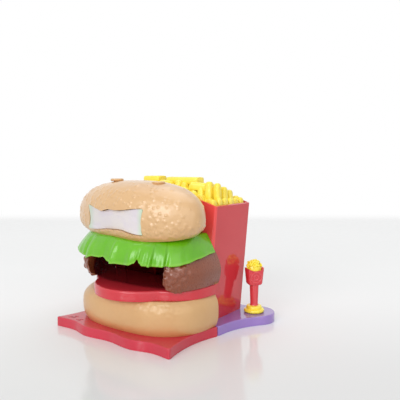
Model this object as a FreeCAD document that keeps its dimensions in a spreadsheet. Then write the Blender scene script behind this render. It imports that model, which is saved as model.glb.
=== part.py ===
"""A burger stand with a carton of fries behind it: a moulded plastic novelty in two halves.

The front half is a burger on a wavy napkin, with an open room in its patty. The rear half is a
carton of fries on a lobed base that carries a small street lamp. The halves meet at a seam: the
rear half starts at y = 0, and the front half swings open about an upright hinge at the seam's left end.
Lengths are millimetres, +Z is up, -Y is the front, and the stand rests on z = 0.
"""

import FreeCAD, Part
import math
import os
import random
import re

Vector = FreeCAD.Vector
UP = Vector(0, 0, 1)

doc = FreeCAD.newDocument("BurgerStand")

# Driving dimensions: alias, number, meaning
SIZES = [
    ("skin", 2.2, "wall of the moulded shells"),
    ("seam_gap", 0.4, "gap between the front and the rear half"),
    ("loose", 0.3, "clearance where one moulding drops into another"),
    ("base_height", 9.5, "height of both bases"),
    ("napkin_half", 75.0, "half width of the napkin"),
    ("napkin_depth", 73.0, "seam to the napkin's front corners"),
    ("napkin_wave", 3.4, "height of the napkin's front waves"),
    ("napkin_waist", 5.0, "how far the napkin's sides draw in"),
    ("tongue_place", 39.0, "snap tongue's near side to the right of the middle"),
    ("tongue_wide", 9.0, "width of the snap tongue"),
    ("tongue_thick", 2.6, "thickness of the snap tongue"),
    ("tongue_long", 4.0, "reach of the snap tongue past the seam"),
    ("burger_square", 2.6, "squareness of the burger's plan, 2 is an oval"),
    ("heel_half", 77.0, "half width of the lower bun"),
    ("heel_depth", 67.0, "seam to the lower bun's front"),
    ("heel_height", 32.0, "height of the lower bun"),
    ("heel_round", 4.6, "how far the lower bun's edges draw in"),
    ("tomato_thick", 10.0, "thickness of the tomato slice"),
    ("band_half", 72.0, "half width of the tomato's band"),
    ("band_depth", 58.0, "seam to the front of the tomato's band"),
    ("porch_radius", 48.0, "radius of the tomato's round porch"),
    ("porch_reach", 76.0, "seam to the front of the porch"),
    ("patty_half", 78.0, "half width of the patty"),
    ("patty_depth", 67.0, "seam to the patty's front"),
    ("patty_height", 43.5, "height of the patty"),
    ("patty_wall", 18.0, "thickness of the patty's wall where it is widest"),
    ("patty_draw", 15.0, "how far the patty's top draws in"),
    ("mouth_half", 54.0, "half width of the patty's mouth"),
    ("mouth_height", 36.0, "height of the patty's mouth"),
    ("leaf_thick", 2.0, "thickness of the lettuce leaf"),
    ("leaf_short", 1.8, "leaf's lower edge inside the patty's widest line at its ends"),
    ("leaf_over", 4.0, "leaf's lower edge past the patty's widest line in front"),
    ("leaf_shoulder", 12.5, "how far the leaf's shoulder lies inside its lower edge"),
    ("leaf_flange", 11.0, "width of the leaf's level flange"),
    ("leaf_drop", 22.0, "drop of the leaf below its flange at the front"),
    ("leaf_lift", 7.0, "rise of the leaf's lower edge towards the seam"),
    ("leaf_ruffle", 2.2, "height of the leaf's ruffles"),
    ("crown_half", 78.0, "half width of the upper bun"),
    ("crown_deep", 37.0, "half depth of the upper bun's oval"),
    ("crown_centre", 30.0, "seam to the centre of the upper bun's oval"),
    ("crown_height", 54.0, "height of the upper bun"),
    ("sign_half", 37.0, "half width of the sign"),
    ("sign_tall", 26.0, "height of the sign between its corners"),
    ("sign_rise", 5.0, "sign's lower corners above the upper bun's edge"),
    ("sign_shift", 1.8, "sign's middle to the left of the bun's"),
    ("sign_set", 5.0, "depth of the sign's recess at its deepest"),
    ("sign_thick", 1.2, "thickness of the sign panel"),
    ("stud_radius", 6.0, "radius of the studs on the upper bun"),
    ("stud_head", 2.6, "thickness of a stud's head"),
    ("stud_neck", 3.2, "radius of a stud's neck"),
    ("stud_space", 56.0, "distance between the two studs"),
    ("stud_top", 1.4, "stud's top above the top of the upper bun"),
    ("carton_low", 63.0, "half width of the carton at its foot"),
    ("carton_high", 74.6, "half width of the carton at its rim"),
    ("carton_depth", 66.0, "seam to the carton's back"),
    ("carton_height", 117.0, "height of the carton's side walls"),
    ("carton_arch", 13.0, "rise of the arched front and back panels"),
    ("carton_edge", 2.4, "rounding of the carton's upright edges"),
    ("door_half", 50.0, "half width of the carton's doorway"),
    ("door_height", 84.0, "height of the carton's doorway"),
    ("door_round", 10.0, "rounding of the doorway's upper corners"),
    ("fry_side", 9.2, "thickness of one moulded fry"),
    ("fry_rise", 10.5, "height of the middle fries above the carton's top"),
    ("fry_uneven", 2.4, "how much the fries of one row differ in height"),
    ("fry_lean", 1.6, "how far a fry's tip stands off its foot"),
    ("mound_rise", 18.0, "rise of the mound under the fries"),
    ("plug_tall", 9.0, "height of the plug that carries the fries"),
    ("plug_sink", 14.0, "plug's foot below the top of the side walls"),
    ("rear_depth", 79.0, "seam to the back of the lobed base"),
    ("rear_corner", 14.0, "rounding of the lobed base's back corner"),
    ("lobe_x", 82.0, "lobe's centre to the right of the middle"),
    ("lobe_y", 67.0, "lobe's centre behind the seam"),
    ("lobe_radius", 19.5, "radius of the lobe"),
    ("lobe_blend", 14.0, "rounding between the lobe and the back edge"),
    ("lamp_x", 81.0, "lamp's axis to the right of the middle"),
    ("lamp_y", 63.0, "lamp's axis behind the seam"),
    ("lamp_turn", 50.0, "bearing of the lamp's face from the front, degrees"),
    ("foot_radius", 10.9, "radius of the lamp's foot"),
    ("foot_height", 7.4, "height of the lamp's foot"),
    ("stem_low", 4.1, "radius of the stem at its foot"),
    ("stem_high", 4.9, "radius of the stem at its head"),
    ("stem_height", 21.8, "height of the stem above the foot"),
    ("head_low", 7.8, "half width of the lamp's head at its foot"),
    ("head_high", 9.6, "half width of the lamp's head at its rim"),
    ("head_deep", 7.2, "half depth of the lamp's head"),
    ("head_height", 19.0, "height of the lamp's head"),
    ("head_dip", 1.2, "dip of the rim in the middle of the head's faces"),
    ("head_wall", 1.6, "wall of the lamp's head"),
    ("head_round", 3.0, "rounding of the head's upright edges"),
    ("badge_radius", 4.4, "radius of the plain round boss on the head"),
    ("badge_proud", 0.7, "height of that boss"),
    ("cap_rise", 10.5, "height of the lamp's fries above the rim"),
    ("chip_side", 2.2, "thickness of one of the lamp's fries"),
    ("peg_radius", 3.0, "radius of the lamp's peg"),
    ("running", 0.05, "radial clearance of a turning fit"),
    ("hub_wall", 2.6, "wall of the lamp's socket and of the screw bosses"),
    ("nut_radius", 5.6, "radius of the push nut on the lamp's peg"),
    ("nut_thick", 0.8, "thickness of the push nut"),
    ("hinge_reach", 4.6, "hinge axis to the left of the napkin's edge"),
    ("knuckle_radius", 4.0, "radius of the hinge knuckles"),
    ("knuckle_gap", 0.4, "gap between two knuckles"),
    ("hinge_clear", 1.6, "patty's end to the hinge's axis"),
    ("ear_height", 7.0, "height of each knuckle of the upper hinge"),
    ("ear_level", 10.0, "upper hinge's foot above the tomato slice"),
    ("pin_radius", 1.5, "radius of the hinge pins"),
    ("pin_head", 2.6, "radius of a hinge pin's head"),
    ("pin_cap", 1.0, "thickness of a hinge pin's head"),
    ("screw_radius", 1.3, "radius of the screws"),
    ("screw_head", 2.7, "radius of a screw's head"),
    ("screw_cap", 1.6, "thickness of a screw's head"),
    ("screw_long", 9.0, "length of a screw below its head"),
]

sheet = doc.addObject("Spreadsheet::Sheet", "Sizes")
for row, (alias, number, meaning) in enumerate(SIZES, start=1):
    sheet.set(f"A{row}", meaning)
    sheet.set(f"B{row}", str(number))
    sheet.setAlias(f"B{row}", alias)
doc.recompute()
ALIASES = {alias for alias, _, _ in SIZES}
PLACE = {"x": "Placement.Base.x", "y": "Placement.Base.y", "z": "Placement.Base.z"}
PIECES = []

# Levels and places that several pieces share, as formulas of the cells
FRONT_FACE = "-seam_gap"
REAR_FACE = "0"
HEEL_TOP = "base_height + heel_height"
TOMATO_TOP = f"{HEEL_TOP} + tomato_thick"
PATTY_TOP = f"{TOMATO_TOP} + patty_height"
LEAF_TOP = f"{PATTY_TOP} + leaf_thick + 2 * loose"
CROWN_TOP = f"{LEAF_TOP} + crown_height"
SIDE_TOP = "base_height + carton_height"
CARTON_TOP = f"{SIDE_TOP} + carton_arch"
HINGE_X = "-max(napkin_half + hinge_reach; heel_half + pin_head; patty_half + hinge_clear)"
EAR_FOOT = f"{TOMATO_TOP} + ear_level"


def size(alias):
    """The number in the cell with that alias."""
    return float(sheet.get(alias))


def formula(text):
    """An expression in which every alias points at its cell."""
    return re.sub(r"[a-z][a-z_]*", lambda m: f"Sizes.{m[0]}" if m[0] in ALIASES else m[0], text)


def bind(item, **formulas):
    """Ties an object's properties, or its place x, y and z, to the sheet."""
    for name, text in formulas.items():
        item.setExpression(PLACE.get(name, name), formula(text))
    return item


def primitive(kind, name, **formulas):
    """A Part primitive tied to the sheet."""
    return bind(doc.addObject(f"Part::{kind}", name), **formulas)


def fuse(name, *shapes):
    """The union of several objects."""
    item = doc.addObject("Part::MultiFuse", name)
    item.Shapes = list(shapes)
    return item


def cut(name, base, *tools):
    """An object with one or more tools taken away."""
    item = doc.addObject("Part::Cut", name)
    item.Base = base
    item.Tool = tools[0] if len(tools) == 1 else fuse(f"{name}Tools", *tools)
    return item


def common(name, first, second):
    """What two objects share."""
    item = doc.addObject("Part::Common", name)
    item.Base = first
    item.Tool = second
    return item


def solid(name, shape):
    """A feature whose shape is worked out from the sheet's numbers."""
    item = doc.addObject("Part::Feature", name)
    item.Shape = shape
    return item


def piece(item, label):
    """Names a finished piece, which is then written to its own file."""
    item.Label = label
    PIECES.append(item)
    return item


def oval_loft(name, levels, centre_y):
    """A solid through level ovals, each given as formulas: half width, half depth, height."""
    rings = []
    for number, (half, deep, level) in enumerate(levels):
        ring = primitive("Ellipse", f"{name}Ring{number}", MajorRadius=half, MinorRadius=deep)
        rings.append(bind(ring, y=centre_y, z=level))
    loft = doc.addObject("Part::Loft", name)
    loft.Sections = rings
    loft.Solid = True
    return loft


def squared(turn, half, depth):
    """A point of the burger's plan: turn runs from the right end (0) to the left end (1) of half a
    squared oval, whose straight side lies along the front face of the seam."""
    across, along = math.cos(math.pi * turn), math.sin(math.pi * turn)
    power, face = size("burger_square"), size("seam_gap")
    reach = (abs(across) ** power + abs(along) ** power) ** (-1 / power)
    return Vector(half * reach * across, -face - (depth - face) * reach * along, 0)


def squared_curves(half, depth, back=0.0):
    """The outline of one burger layer: a squared bow and a straight back, moved forward by back."""
    steps = 24
    points = [squared(step / steps, half, depth - back) - Vector(0, back, 0) for step in range(steps + 1)]
    bow = Part.BSplineCurve()
    bow.interpolate(points)
    return [bow, line(points[-1], points[0])]


def squared_loft(levels, back=0.0):
    """A solid through level outlines of a burger layer, each given as half width, depth and height."""
    rings = []
    for half, depth, level in levels:
        ring = edge_loop(*squared_curves(half, depth, back))
        ring.translate(Vector(0, 0, level))
        rings.append(ring)
    return Part.makeLoft(rings, True)


def front_of(name, item, plane, half, depth, top):
    """The part of an object that lies in front of a plane across the stand."""
    keep = primitive("Box", f"{name}Keep", Length=f"4 * ({half})", Width=f"3 * ({depth})", Height=f"2 * ({top})")
    bind(keep, x=f"-2 * ({half})", y=f"{plane} - 3 * ({depth})", z="-base_height")
    return common(name, item, keep)


def edge_loop(*curves):
    """A closed wire of curves given in order."""
    return Part.Wire([curve.toShape() for curve in curves])


def line(start, end):
    """A straight stretch of an outline."""
    return Part.LineSegment(start, end)


def arc(start, middle, end):
    """A round stretch of an outline through three points."""
    return Part.Arc(start, middle, end)


def polar(centre, radius, degrees):
    """The point at a bearing from a centre, in the level plane."""
    angle = math.radians(degrees)
    return centre + Vector(radius * math.cos(angle), radius * math.sin(angle), 0)


def rounded(name, item, radius, keep):
    """An object whose edges that pass a test are rounded."""
    doc.recompute()
    made = doc.addObject("Part::Fillet", name)
    made.Base = item
    made.Edges = [(n, radius, radius) for n, edge in enumerate(item.Shape.Edges, start=1) if keep(edge.BoundBox)]
    return made


def plate_body(name, curves, foot, height):
    """A body that pads an outline of curves, from one level, by one height."""
    body = doc.addObject("PartDesign::Body", name)
    sketch = body.newObject("Sketcher::SketchObject", f"{name}Outline")
    plane = next(p for p in body.Origin.OriginFeatures if p.Role == "XY_Plane")
    sketch.AttachmentSupport = [(plane, "")]
    sketch.MapMode = "FlatFace"
    sketch.setExpression("AttachmentOffset.Base.z", formula(foot))
    for curve in curves:
        sketch.addGeometry(curve, False)
    pad = body.newObject("PartDesign::Pad", f"{name}Pad")
    pad.Profile = sketch
    bind(pad, Length=height)
    sketch.Visibility = False
    return body


def knuckle(name, foot, height, side, reach):
    """A hinge knuckle with the web that joins it to its half; side is -1 in front, 1 behind."""
    barrel = primitive("Cylinder", f"{name}Barrel", Radius="knuckle_radius", Height=height)
    bind(barrel, x=HINGE_X, z=foot)
    web = primitive("Box", f"{name}Web", Length=reach, Width="knuckle_radius - seam_gap", Height=height)
    bind(web, x=HINGE_X, y=REAR_FACE if side > 0 else "-knuckle_radius", z=foot)
    return [barrel, web]


def hinge_bore(name, foot, height, clearance):
    """The hole for a hinge pin, through one knuckle."""
    bore = primitive("Cylinder", name, Radius=f"pin_radius + {clearance}", Height=height)
    return bind(bore, x=HINGE_X, z=foot)


def hinge_room(name, foot, height):
    """The space that one half leaves for the other half's knuckle."""
    room = primitive("Cylinder", name, Radius="knuckle_radius + loose", Height=height)
    return bind(room, x=HINGE_X, z=foot)


def holes(name, spots, radius, foot, height):
    """Upright round tools at spots given as pairs of formulas."""
    tools = []
    for number, (x, y) in enumerate(spots):
        tool = primitive("Cylinder", f"{name}{number}", Radius=radius, Height=height)
        tools.append(bind(tool, x=x, y=y, z=foot))
    return tools


def screws(label, spots, head_foot):
    """A group of upright screws, each a head with a shank above it."""
    group = []
    for number, (x, y) in enumerate(spots):
        head = primitive("Cylinder", f"{label}Head{number}", Radius="screw_head", Height="screw_cap")
        shank = primitive("Cylinder", f"{label}Shank{number}", Radius="screw_radius", Height="screw_long")
        bind(head, x=x, y=y, z=head_foot)
        bind(shank, x=x, y=y, z=f"{head_foot} + screw_cap")
        group.append(fuse(f"{label}Screw{number}", head, shank))
    together = doc.addObject("Part::Compound", f"{label}Group")
    together.Links = group
    return piece(together, label)


# Where the screws go: the napkin to the lower bun, the upper bun to its floor, the base to the carton
NAPKIN_SCREWS = [("0", "-heel_depth * 0.66"), ("-heel_half * 0.62", "-heel_depth * 0.3"),
                 ("heel_half * 0.62", "-heel_depth * 0.3")]
LEAF_ROOM = "patty_half - leaf_short - leaf_shoulder - leaf_flange"
CROWN_SCREWS = [(f"{side} * min({LEAF_ROOM}; crown_half - leaf_shoulder - leaf_flange) * 0.6", "-crown_centre")
                for side in ("-1", "1")]
BOSS_INSET = "skin + screw_radius + hub_wall / 2"
CARTON_SCREWS = [(f"{side} * (carton_low - ({BOSS_INSET}))", y)
                 for side in ("-1", "1") for y in (f"{REAR_FACE} + {BOSS_INSET}", f"carton_depth - ({BOSS_INSET})")]


# Front base: a napkin with a wavy front edge, hollow underneath
def napkin_curves(inset):
    """The napkin's outline, drawn in by an inset; its front waves twice between pointed corners."""
    half, depth = size("napkin_half") - inset, size("napkin_depth") - inset
    back = -size("seam_gap") - inset
    wave, waist = size("napkin_wave"), size("napkin_waist")
    right, left = Vector(half, back, 0), Vector(-half, back, 0)
    right_tip, left_tip = Vector(half, -depth, 0), Vector(-half, -depth, 0)
    crests = [(0.70, -0.5), (0.39, 1.0), (0.0, 0.1), (-0.39, 1.0), (-0.70, -0.5)]
    ripple = [right_tip] + [Vector(x * half, -depth - y * wave, 0) for x, y in crests] + [left_tip]
    front = Part.BSplineCurve()
    front.interpolate(ripple)
    right_side = arc(right, Vector(half - waist, (back - depth) * 0.4, 0), right_tip)
    left_side = arc(left_tip, Vector(waist - half, (back - depth) * 0.4, 0), left)
    return [right_side, front, left_side, line(left, right)]


def make_napkin():
    """The red napkin base, with its hinge knuckle and snap tongue."""
    plate = plate_body("Napkin", napkin_curves(0), "0", "base_height")
    hollow = plate_body("NapkinHollow", napkin_curves(size("skin")), "0", "base_height - skin")
    split = "base_height / 2"
    lower, upper = f"{split} - knuckle_gap / 2", f"{split} + knuckle_gap / 2"
    barrel = knuckle("NapkinKnuckle", upper, f"base_height - ({upper})", -1, f"-({HINGE_X}) - napkin_half + 3 * skin")
    tongue = primitive("Box", "SnapTongue", Length="tongue_wide", Height="tongue_thick",
                       Width="tongue_long + seam_gap + skin")
    bind(tongue, x="tongue_place", y=f"{FRONT_FACE} - skin", z="base_height / 2 - tongue_thick / 2")
    bosses = holes("NapkinBoss", NAPKIN_SCREWS, "screw_head + hub_wall", "screw_cap", "base_height - screw_cap")
    shell = fuse("NapkinWhole", cut("NapkinShell", plate, hollow), tongue, *barrel, *bosses)
    tools = holes("NapkinHole", NAPKIN_SCREWS, "screw_radius + running", "0", "base_height")
    tools += holes("NapkinSink", NAPKIN_SCREWS, "screw_head + running", "0", "base_height - skin")
    tools.append(hinge_bore("NapkinBore", "0", "base_height", "running"))
    tools.append(hinge_room("NapkinRoom", "-base_height", f"{upper} + base_height"))
    return piece(cut("NapkinBase", shell, *tools), "napkin_base")


# Lower bun: a crowned half round shell with a flat back
HEEL_PROFILE = [(0.0, 0.75), (0.16, 0.2), (0.5, 0.0), (0.84, 0.25), (1.0, 1.0)]


def make_lower_bun():
    """The heel of the bun, closed at its back and top and open at its foot."""
    half, depth, wall = size("heel_half"), size("heel_depth"), size("skin")
    draw, foot, tall = size("heel_round"), size("base_height"), size("heel_height")
    outer = [(half - d * draw, depth - d * draw, foot + s * tall) for s, d in HEEL_PROFILE]
    inner = [(half - wall - d * draw, depth - wall - d * draw, foot + s * (tall - wall)) for s, d in HEEL_PROFILE]
    shell = squared_loft(outer).cut(squared_loft(inner, wall))
    bosses = holes("HeelBoss", NAPKIN_SCREWS, "screw_radius + hub_wall", "base_height", "heel_height - skin / 2")
    pilots = holes("HeelPilot", NAPKIN_SCREWS, "screw_radius", "base_height", "screw_long")
    whole = fuse("HeelWhole", solid("HeelShell", shell), *bosses)
    return piece(cut("LowerBun", whole, *pilots), "lower_bun")


# Tomato slice: a half round band with a round porch, hollow underneath
def make_tomato():
    """The tomato slice, which is the floor of the room and the porch in front of its mouth."""
    wall, radius = size("skin"), size("porch_radius")
    half, depth = size("band_half"), size("band_depth")
    middle = Vector(0, radius - size("porch_reach"), 0)
    band = plate_body("Band", squared_curves(half, depth), HEEL_TOP, "tomato_thick")
    porch = plate_body("Porch", [Part.Circle(middle, UP, radius)], HEEL_TOP, "tomato_thick")
    band_room = plate_body("BandHollow", squared_curves(half - wall, depth - wall, wall), HEEL_TOP,
                           "tomato_thick - skin")
    porch_room = plate_body("PorchHollow", [Part.Circle(middle, UP, radius - wall)], HEEL_TOP, "tomato_thick - skin")
    slab = front_of("TomatoSlab", fuse("TomatoWhole", band, porch), FRONT_FACE, "band_half", "porch_reach", TOMATO_TOP)
    rooms = front_of("TomatoHollow", fuse("TomatoRooms", band_room, porch_room), f"{FRONT_FACE} - skin",
                     "band_half", "porch_reach", TOMATO_TOP)
    return piece(cut("TomatoSlice", slab, rooms), "tomato_slice")


# Patty: a crowned half ring with a wide mouth in front
PATTY_PROFILE = [(0.0, 0.5), (0.12, 0.14), (0.36, 0.0), (0.58, 0.14), (0.74, 0.44), (1.0, 1.0)]


def mouth_curves():
    """The mouth's plan, which leaves the patty's two ends rounded towards it."""
    half, depth, wall = size("mouth_half"), size("patty_depth"), size("patty_wall")
    outside, inside = -depth * 1.1, -depth * 0.4
    middle = (outside + inside) / 2
    right, left = half + wall * 0.6, -half - wall * 0.6
    return [
        line(Vector(left, outside, 0), Vector(right, outside, 0)),
        arc(Vector(right, outside, 0), Vector(half, middle, 0), Vector(right, inside, 0)),
        line(Vector(right, inside, 0), Vector(left, inside, 0)),
        arc(Vector(left, inside, 0), Vector(-half, middle, 0), Vector(left, outside, 0)),
    ]


def make_patty():
    """The patty, whose wall is the room's wall, with the moving half of the upper hinge."""
    half, depth, wall = size("patty_half"), size("patty_depth"), size("patty_wall")
    draw, tall = size("patty_draw"), size("patty_height")
    foot = size("base_height") + size("heel_height") + size("tomato_thick")
    outer = [(half - d * draw, depth - d * draw, foot + s * tall) for s, d in PATTY_PROFILE]
    inner = [(half - wall, depth - wall, foot + s * tall) for s in (0, 1)]
    ring = solid("PattyHalfRing", squared_loft(outer).cut(squared_loft(inner)))
    mouth = plate_body("Mouth", mouth_curves(), TOMATO_TOP, "mouth_height")
    upper = f"{EAR_FOOT} + ear_height + knuckle_gap"
    ear = knuckle("PattyEar", upper, "ear_height", -1, f"-({HINGE_X}) - patty_half + patty_wall / 2")
    whole = fuse("PattyWhole", cut("PattyOpen", ring, mouth), *ear)
    bore = hinge_bore("PattyBore", upper, "ear_height", "running")
    room = hinge_room("PattyHingeRoom", f"{EAR_FOOT} - knuckle_gap", "ear_height + 2 * knuckle_gap")
    room_above = hinge_room("PattyPinRoom", f"{upper} + ear_height", "pin_cap + 2 * knuckle_gap")
    return piece(cut("PattyRing", whole, bore, room, room_above), "patty_ring")


# Lettuce: one thin sheet with a level flange and a ruffled skirt
def leaf_point(turn, fall, lower):
    """A point of the leaf: turn runs from the right end (0) to the left end (1), and fall from the
    flange's inner edge (0) over the shoulder (0.35) to the lower edge (1). Ruffles grow downwards,
    and only in front and on the left. The lower sheet lies one thickness under the upper one."""
    thick = size("leaf_thick")
    skirt = max(0.0, (fall - 0.35) / 0.65)
    flange = min(1.0, fall / 0.35)
    bend = skirt ** 0.85
    ease = min(1.0, max(0.0, (turn - 0.2) / 0.2))
    ease *= min(1.0, (1.0 - turn) / 0.06)
    ruffle = size("leaf_ruffle") * skirt * ease * (0.7 + math.sin(2 * math.pi * 9 * turn))
    inset = size("leaf_shoulder") * (1 - bend) + size("leaf_flange") * (1 - flange)
    inset += thick * 0.8 * lower * min(1.0, 2 * skirt)
    drop = size("leaf_drop") - size("leaf_lift") * math.cos(math.pi * turn) ** 2
    level = size("base_height") + size("heel_height") + size("tomato_thick") + size("patty_height")
    level += size("loose") + thick * (1 - lower * (1 - 0.4 * min(1.0, 2 * skirt)))
    level -= drop * skirt ** 1.45 + 0.5 * ruffle * skirt
    half, depth = size("patty_half") - size("leaf_short"), size("patty_depth") + size("leaf_over")
    place = squared(turn, half - inset + ruffle, depth - inset + ruffle)
    return place + Vector(0, 0, level)


def clamped(count):
    """The knots and their multiplicities of an even cubic that starts and ends on its outer poles."""
    spans = count - 3
    return list(range(spans + 1)), [4] + [1] * (spans - 1) + [4]


def leaf_sheet(lower):
    """One side of the leaf, a smooth cubic surface drawn by a grid of its points."""
    turns, falls = 96, (0.0, 0.12, 0.24, 0.35, 0.42, 0.5, 0.6, 0.72, 0.86, 1.0)
    poles = [[leaf_point(i / turns, fall, lower) for fall in falls] for i in range(turns + 1)]
    (knots_u, mults_u), (knots_v, mults_v) = clamped(turns + 1), clamped(len(falls))
    surface = Part.BSplineSurface()
    surface.buildFromPolesMultsKnots(poles, mults_u, mults_v, knots_u, knots_v, False, False, 3, 3)
    return surface


def make_lettuce():
    """The leaf: an upper and a lower sheet, closed round their four edges."""
    above, below = leaf_sheet(0), leaf_sheet(1)
    faces = [above.toShape(), below.toShape()]
    for along, at in (("u", 0), ("u", 1), ("v", 0), ("v", 1)):
        pair = []
        for sheet_face in (above, below):
            first, last = sheet_face.bounds()[0:2] if along == "u" else sheet_face.bounds()[2:4]
            place = last if at else first
            curve = sheet_face.uIso(place) if along == "u" else sheet_face.vIso(place)
            pair.append(curve.toShape())
        faces.append(Part.makeRuledSurface(*pair))
    shell = Part.makeShell(faces)
    shell.sewShape()
    leaf = Part.Solid(shell)
    if leaf.Volume < 0:
        leaf.reverse()
    return piece(solid("LettuceLeaf", leaf), "lettuce_leaf")


# Upper bun: a dome with a flat back, a recess for the sign and two studs
CROWN_PROFILE = [(0.0, 0.88), (0.12, 0.965), (0.32, 1.0), (0.54, 0.965), (0.74, 0.86),
                 (0.89, 0.68), (0.975, 0.45), (1.0, 0.2)]


def sign_curves(inset):
    """The sign's outline in the plane y = 0: four edges that all bow inwards between its corners."""
    half, low = size("sign_half") - inset, size("sign_rise") + inset
    level = size("base_height") + size("heel_height") + size("tomato_thick") + size("patty_height")
    level += size("leaf_thick") + 2 * size("loose") + low
    tall = size("sign_tall") - 2 * inset
    bow_top, bow_foot, bow_side = tall * 0.2, tall * 0.12, half * 0.06
    left, middle, right = -size("sign_shift") - half, -size("sign_shift"), half - size("sign_shift")
    corners = [Vector(left, 0, level), Vector(right, 0, level),
               Vector(right, 0, level + tall), Vector(left, 0, level + tall)]
    bows = [Vector(middle, 0, level + bow_foot), Vector(right - bow_side, 0, level + tall / 2),
            Vector(middle, 0, level + tall - bow_top), Vector(left + bow_side, 0, level + tall / 2)]
    return [arc(corners[i], bows[i], corners[(i + 1) % 4]) for i in range(4)]


def sign_block(name, inset, front, back):
    """The sign's outline carried from one depth to another."""
    face = Part.Face(edge_loop(*sign_curves(inset)))
    face.translate(Vector(0, -front, 0))
    return solid(name, face.extrude(Vector(0, front - back, 0)))


def make_crown():
    """The upper bun, its floor, its sign and its two studs."""
    outer = [(f"{c} * crown_half", f"{c} * crown_deep", f"{LEAF_TOP} + {s} * crown_height") for s, c in CROWN_PROFILE]
    inner = [(f"{c} * crown_half - skin", f"{c} * crown_deep - skin", f"{LEAF_TOP} + {s} * (crown_height - skin)")
             for s, c in CROWN_PROFILE]
    body = front_of("CrownBody", oval_loft("CrownOuter", outer, "-crown_centre"), FRONT_FACE,
                    "crown_half", "crown_deep + crown_centre", CROWN_TOP)
    room = front_of("CrownRoom", oval_loft("CrownInner", inner, "-crown_centre"), f"{FRONT_FACE} - skin",
                    "crown_half", "crown_deep + crown_centre", CROWN_TOP)
    front = size("crown_centre") + size("crown_deep")
    seat = front - size("sign_set")
    recess = sign_block("SignRecess", 0, front + size("sign_set"), seat - size("sign_thick"))
    backing = sign_block("SignBacking", -size("skin"), seat, seat - size("sign_thick") - size("skin"))
    bosses = holes("CrownBoss", CROWN_SCREWS, "screw_radius + hub_wall", f"{LEAF_TOP} + skin + loose",
                   "crown_height - skin")
    pilots = holes("CrownPilot", CROWN_SCREWS, "screw_radius", f"{LEAF_TOP} + skin + loose", "screw_long")
    spots = [(f"{side} * stud_space / 2", "-crown_centre") for side in ("-1", "1")]
    stud_foot = f"{CROWN_TOP} + stud_top - stud_head"
    seats = holes("StudSeat", spots, "stud_neck", f"{CROWN_TOP} - 4 * skin", "8 * skin")
    seats += holes("StudRest", spots, "stud_radius + loose", stud_foot, "stud_head + stud_top")
    inside = common("CrownFittings", fuse("CrownInsides", backing, *bosses), body)
    whole = fuse("CrownWhole", cut("CrownShell", body, room), inside)
    piece(cut("UpperBun", whole, recess, *pilots, *seats), "upper_bun")
    piece(sign_block("SignPanel", size("loose"), seat, seat - size("sign_thick")), "sign_panel")
    for label, (x, y) in zip(("left_stud", "right_stud"), spots):
        head = primitive("Cylinder", f"{label}Head", Radius="stud_radius", Height="stud_head")
        neck = primitive("Cylinder", f"{label}Neck", Radius="stud_neck", Height="stud_top + 3 * skin")
        bind(head, x=x, y=y, z=stud_foot)
        bind(neck, x=x, y=y, z=f"{CROWN_TOP} - 3 * skin")
        cap = rounded(f"{label}Cap", head, size("stud_head") * 0.45, lambda edge: edge.ZLength < size("stud_head") / 2)
        piece(fuse(f"{label}Whole", cap, neck), label)
    plate = [(f"{CROWN_PROFILE[0][1]} * crown_half - skin - loose", f"{CROWN_PROFILE[0][1]} * crown_deep - skin - loose",
              level) for level in (LEAF_TOP, f"{LEAF_TOP} + skin")]
    floor = front_of("CrownFloorHalf", oval_loft("CrownFloorPlate", plate, "-crown_centre"),
                     f"{FRONT_FACE} - skin - loose", "crown_half", "crown_deep + crown_centre", CROWN_TOP)
    piece(cut("CrownFloor", floor, *holes("FloorHole", CROWN_SCREWS, "screw_radius + running", LEAF_TOP, "skin")),
          "bun_floor")


# Carton: a tapered box with an arched rim and a doorway towards the burger
def tapered_box(name, low, high, foot, top, near, far):
    """A box that widens upwards, given as formulas; near and far are its depths behind the seam."""
    box = primitive("Wedge", name, Ymin=foot, Ymax=top, Xmin=f"-({low})", Xmax=low, X2min=f"-({high})", X2max=high,
                    Zmin=f"-({far})", Zmax=f"-({near})", Z2min=f"-({far})", Z2max=f"-({near})")
    box.Placement = FreeCAD.Placement(Vector(0, 0, 0), FreeCAD.Rotation(Vector(1, 0, 0), 90))
    return box


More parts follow.
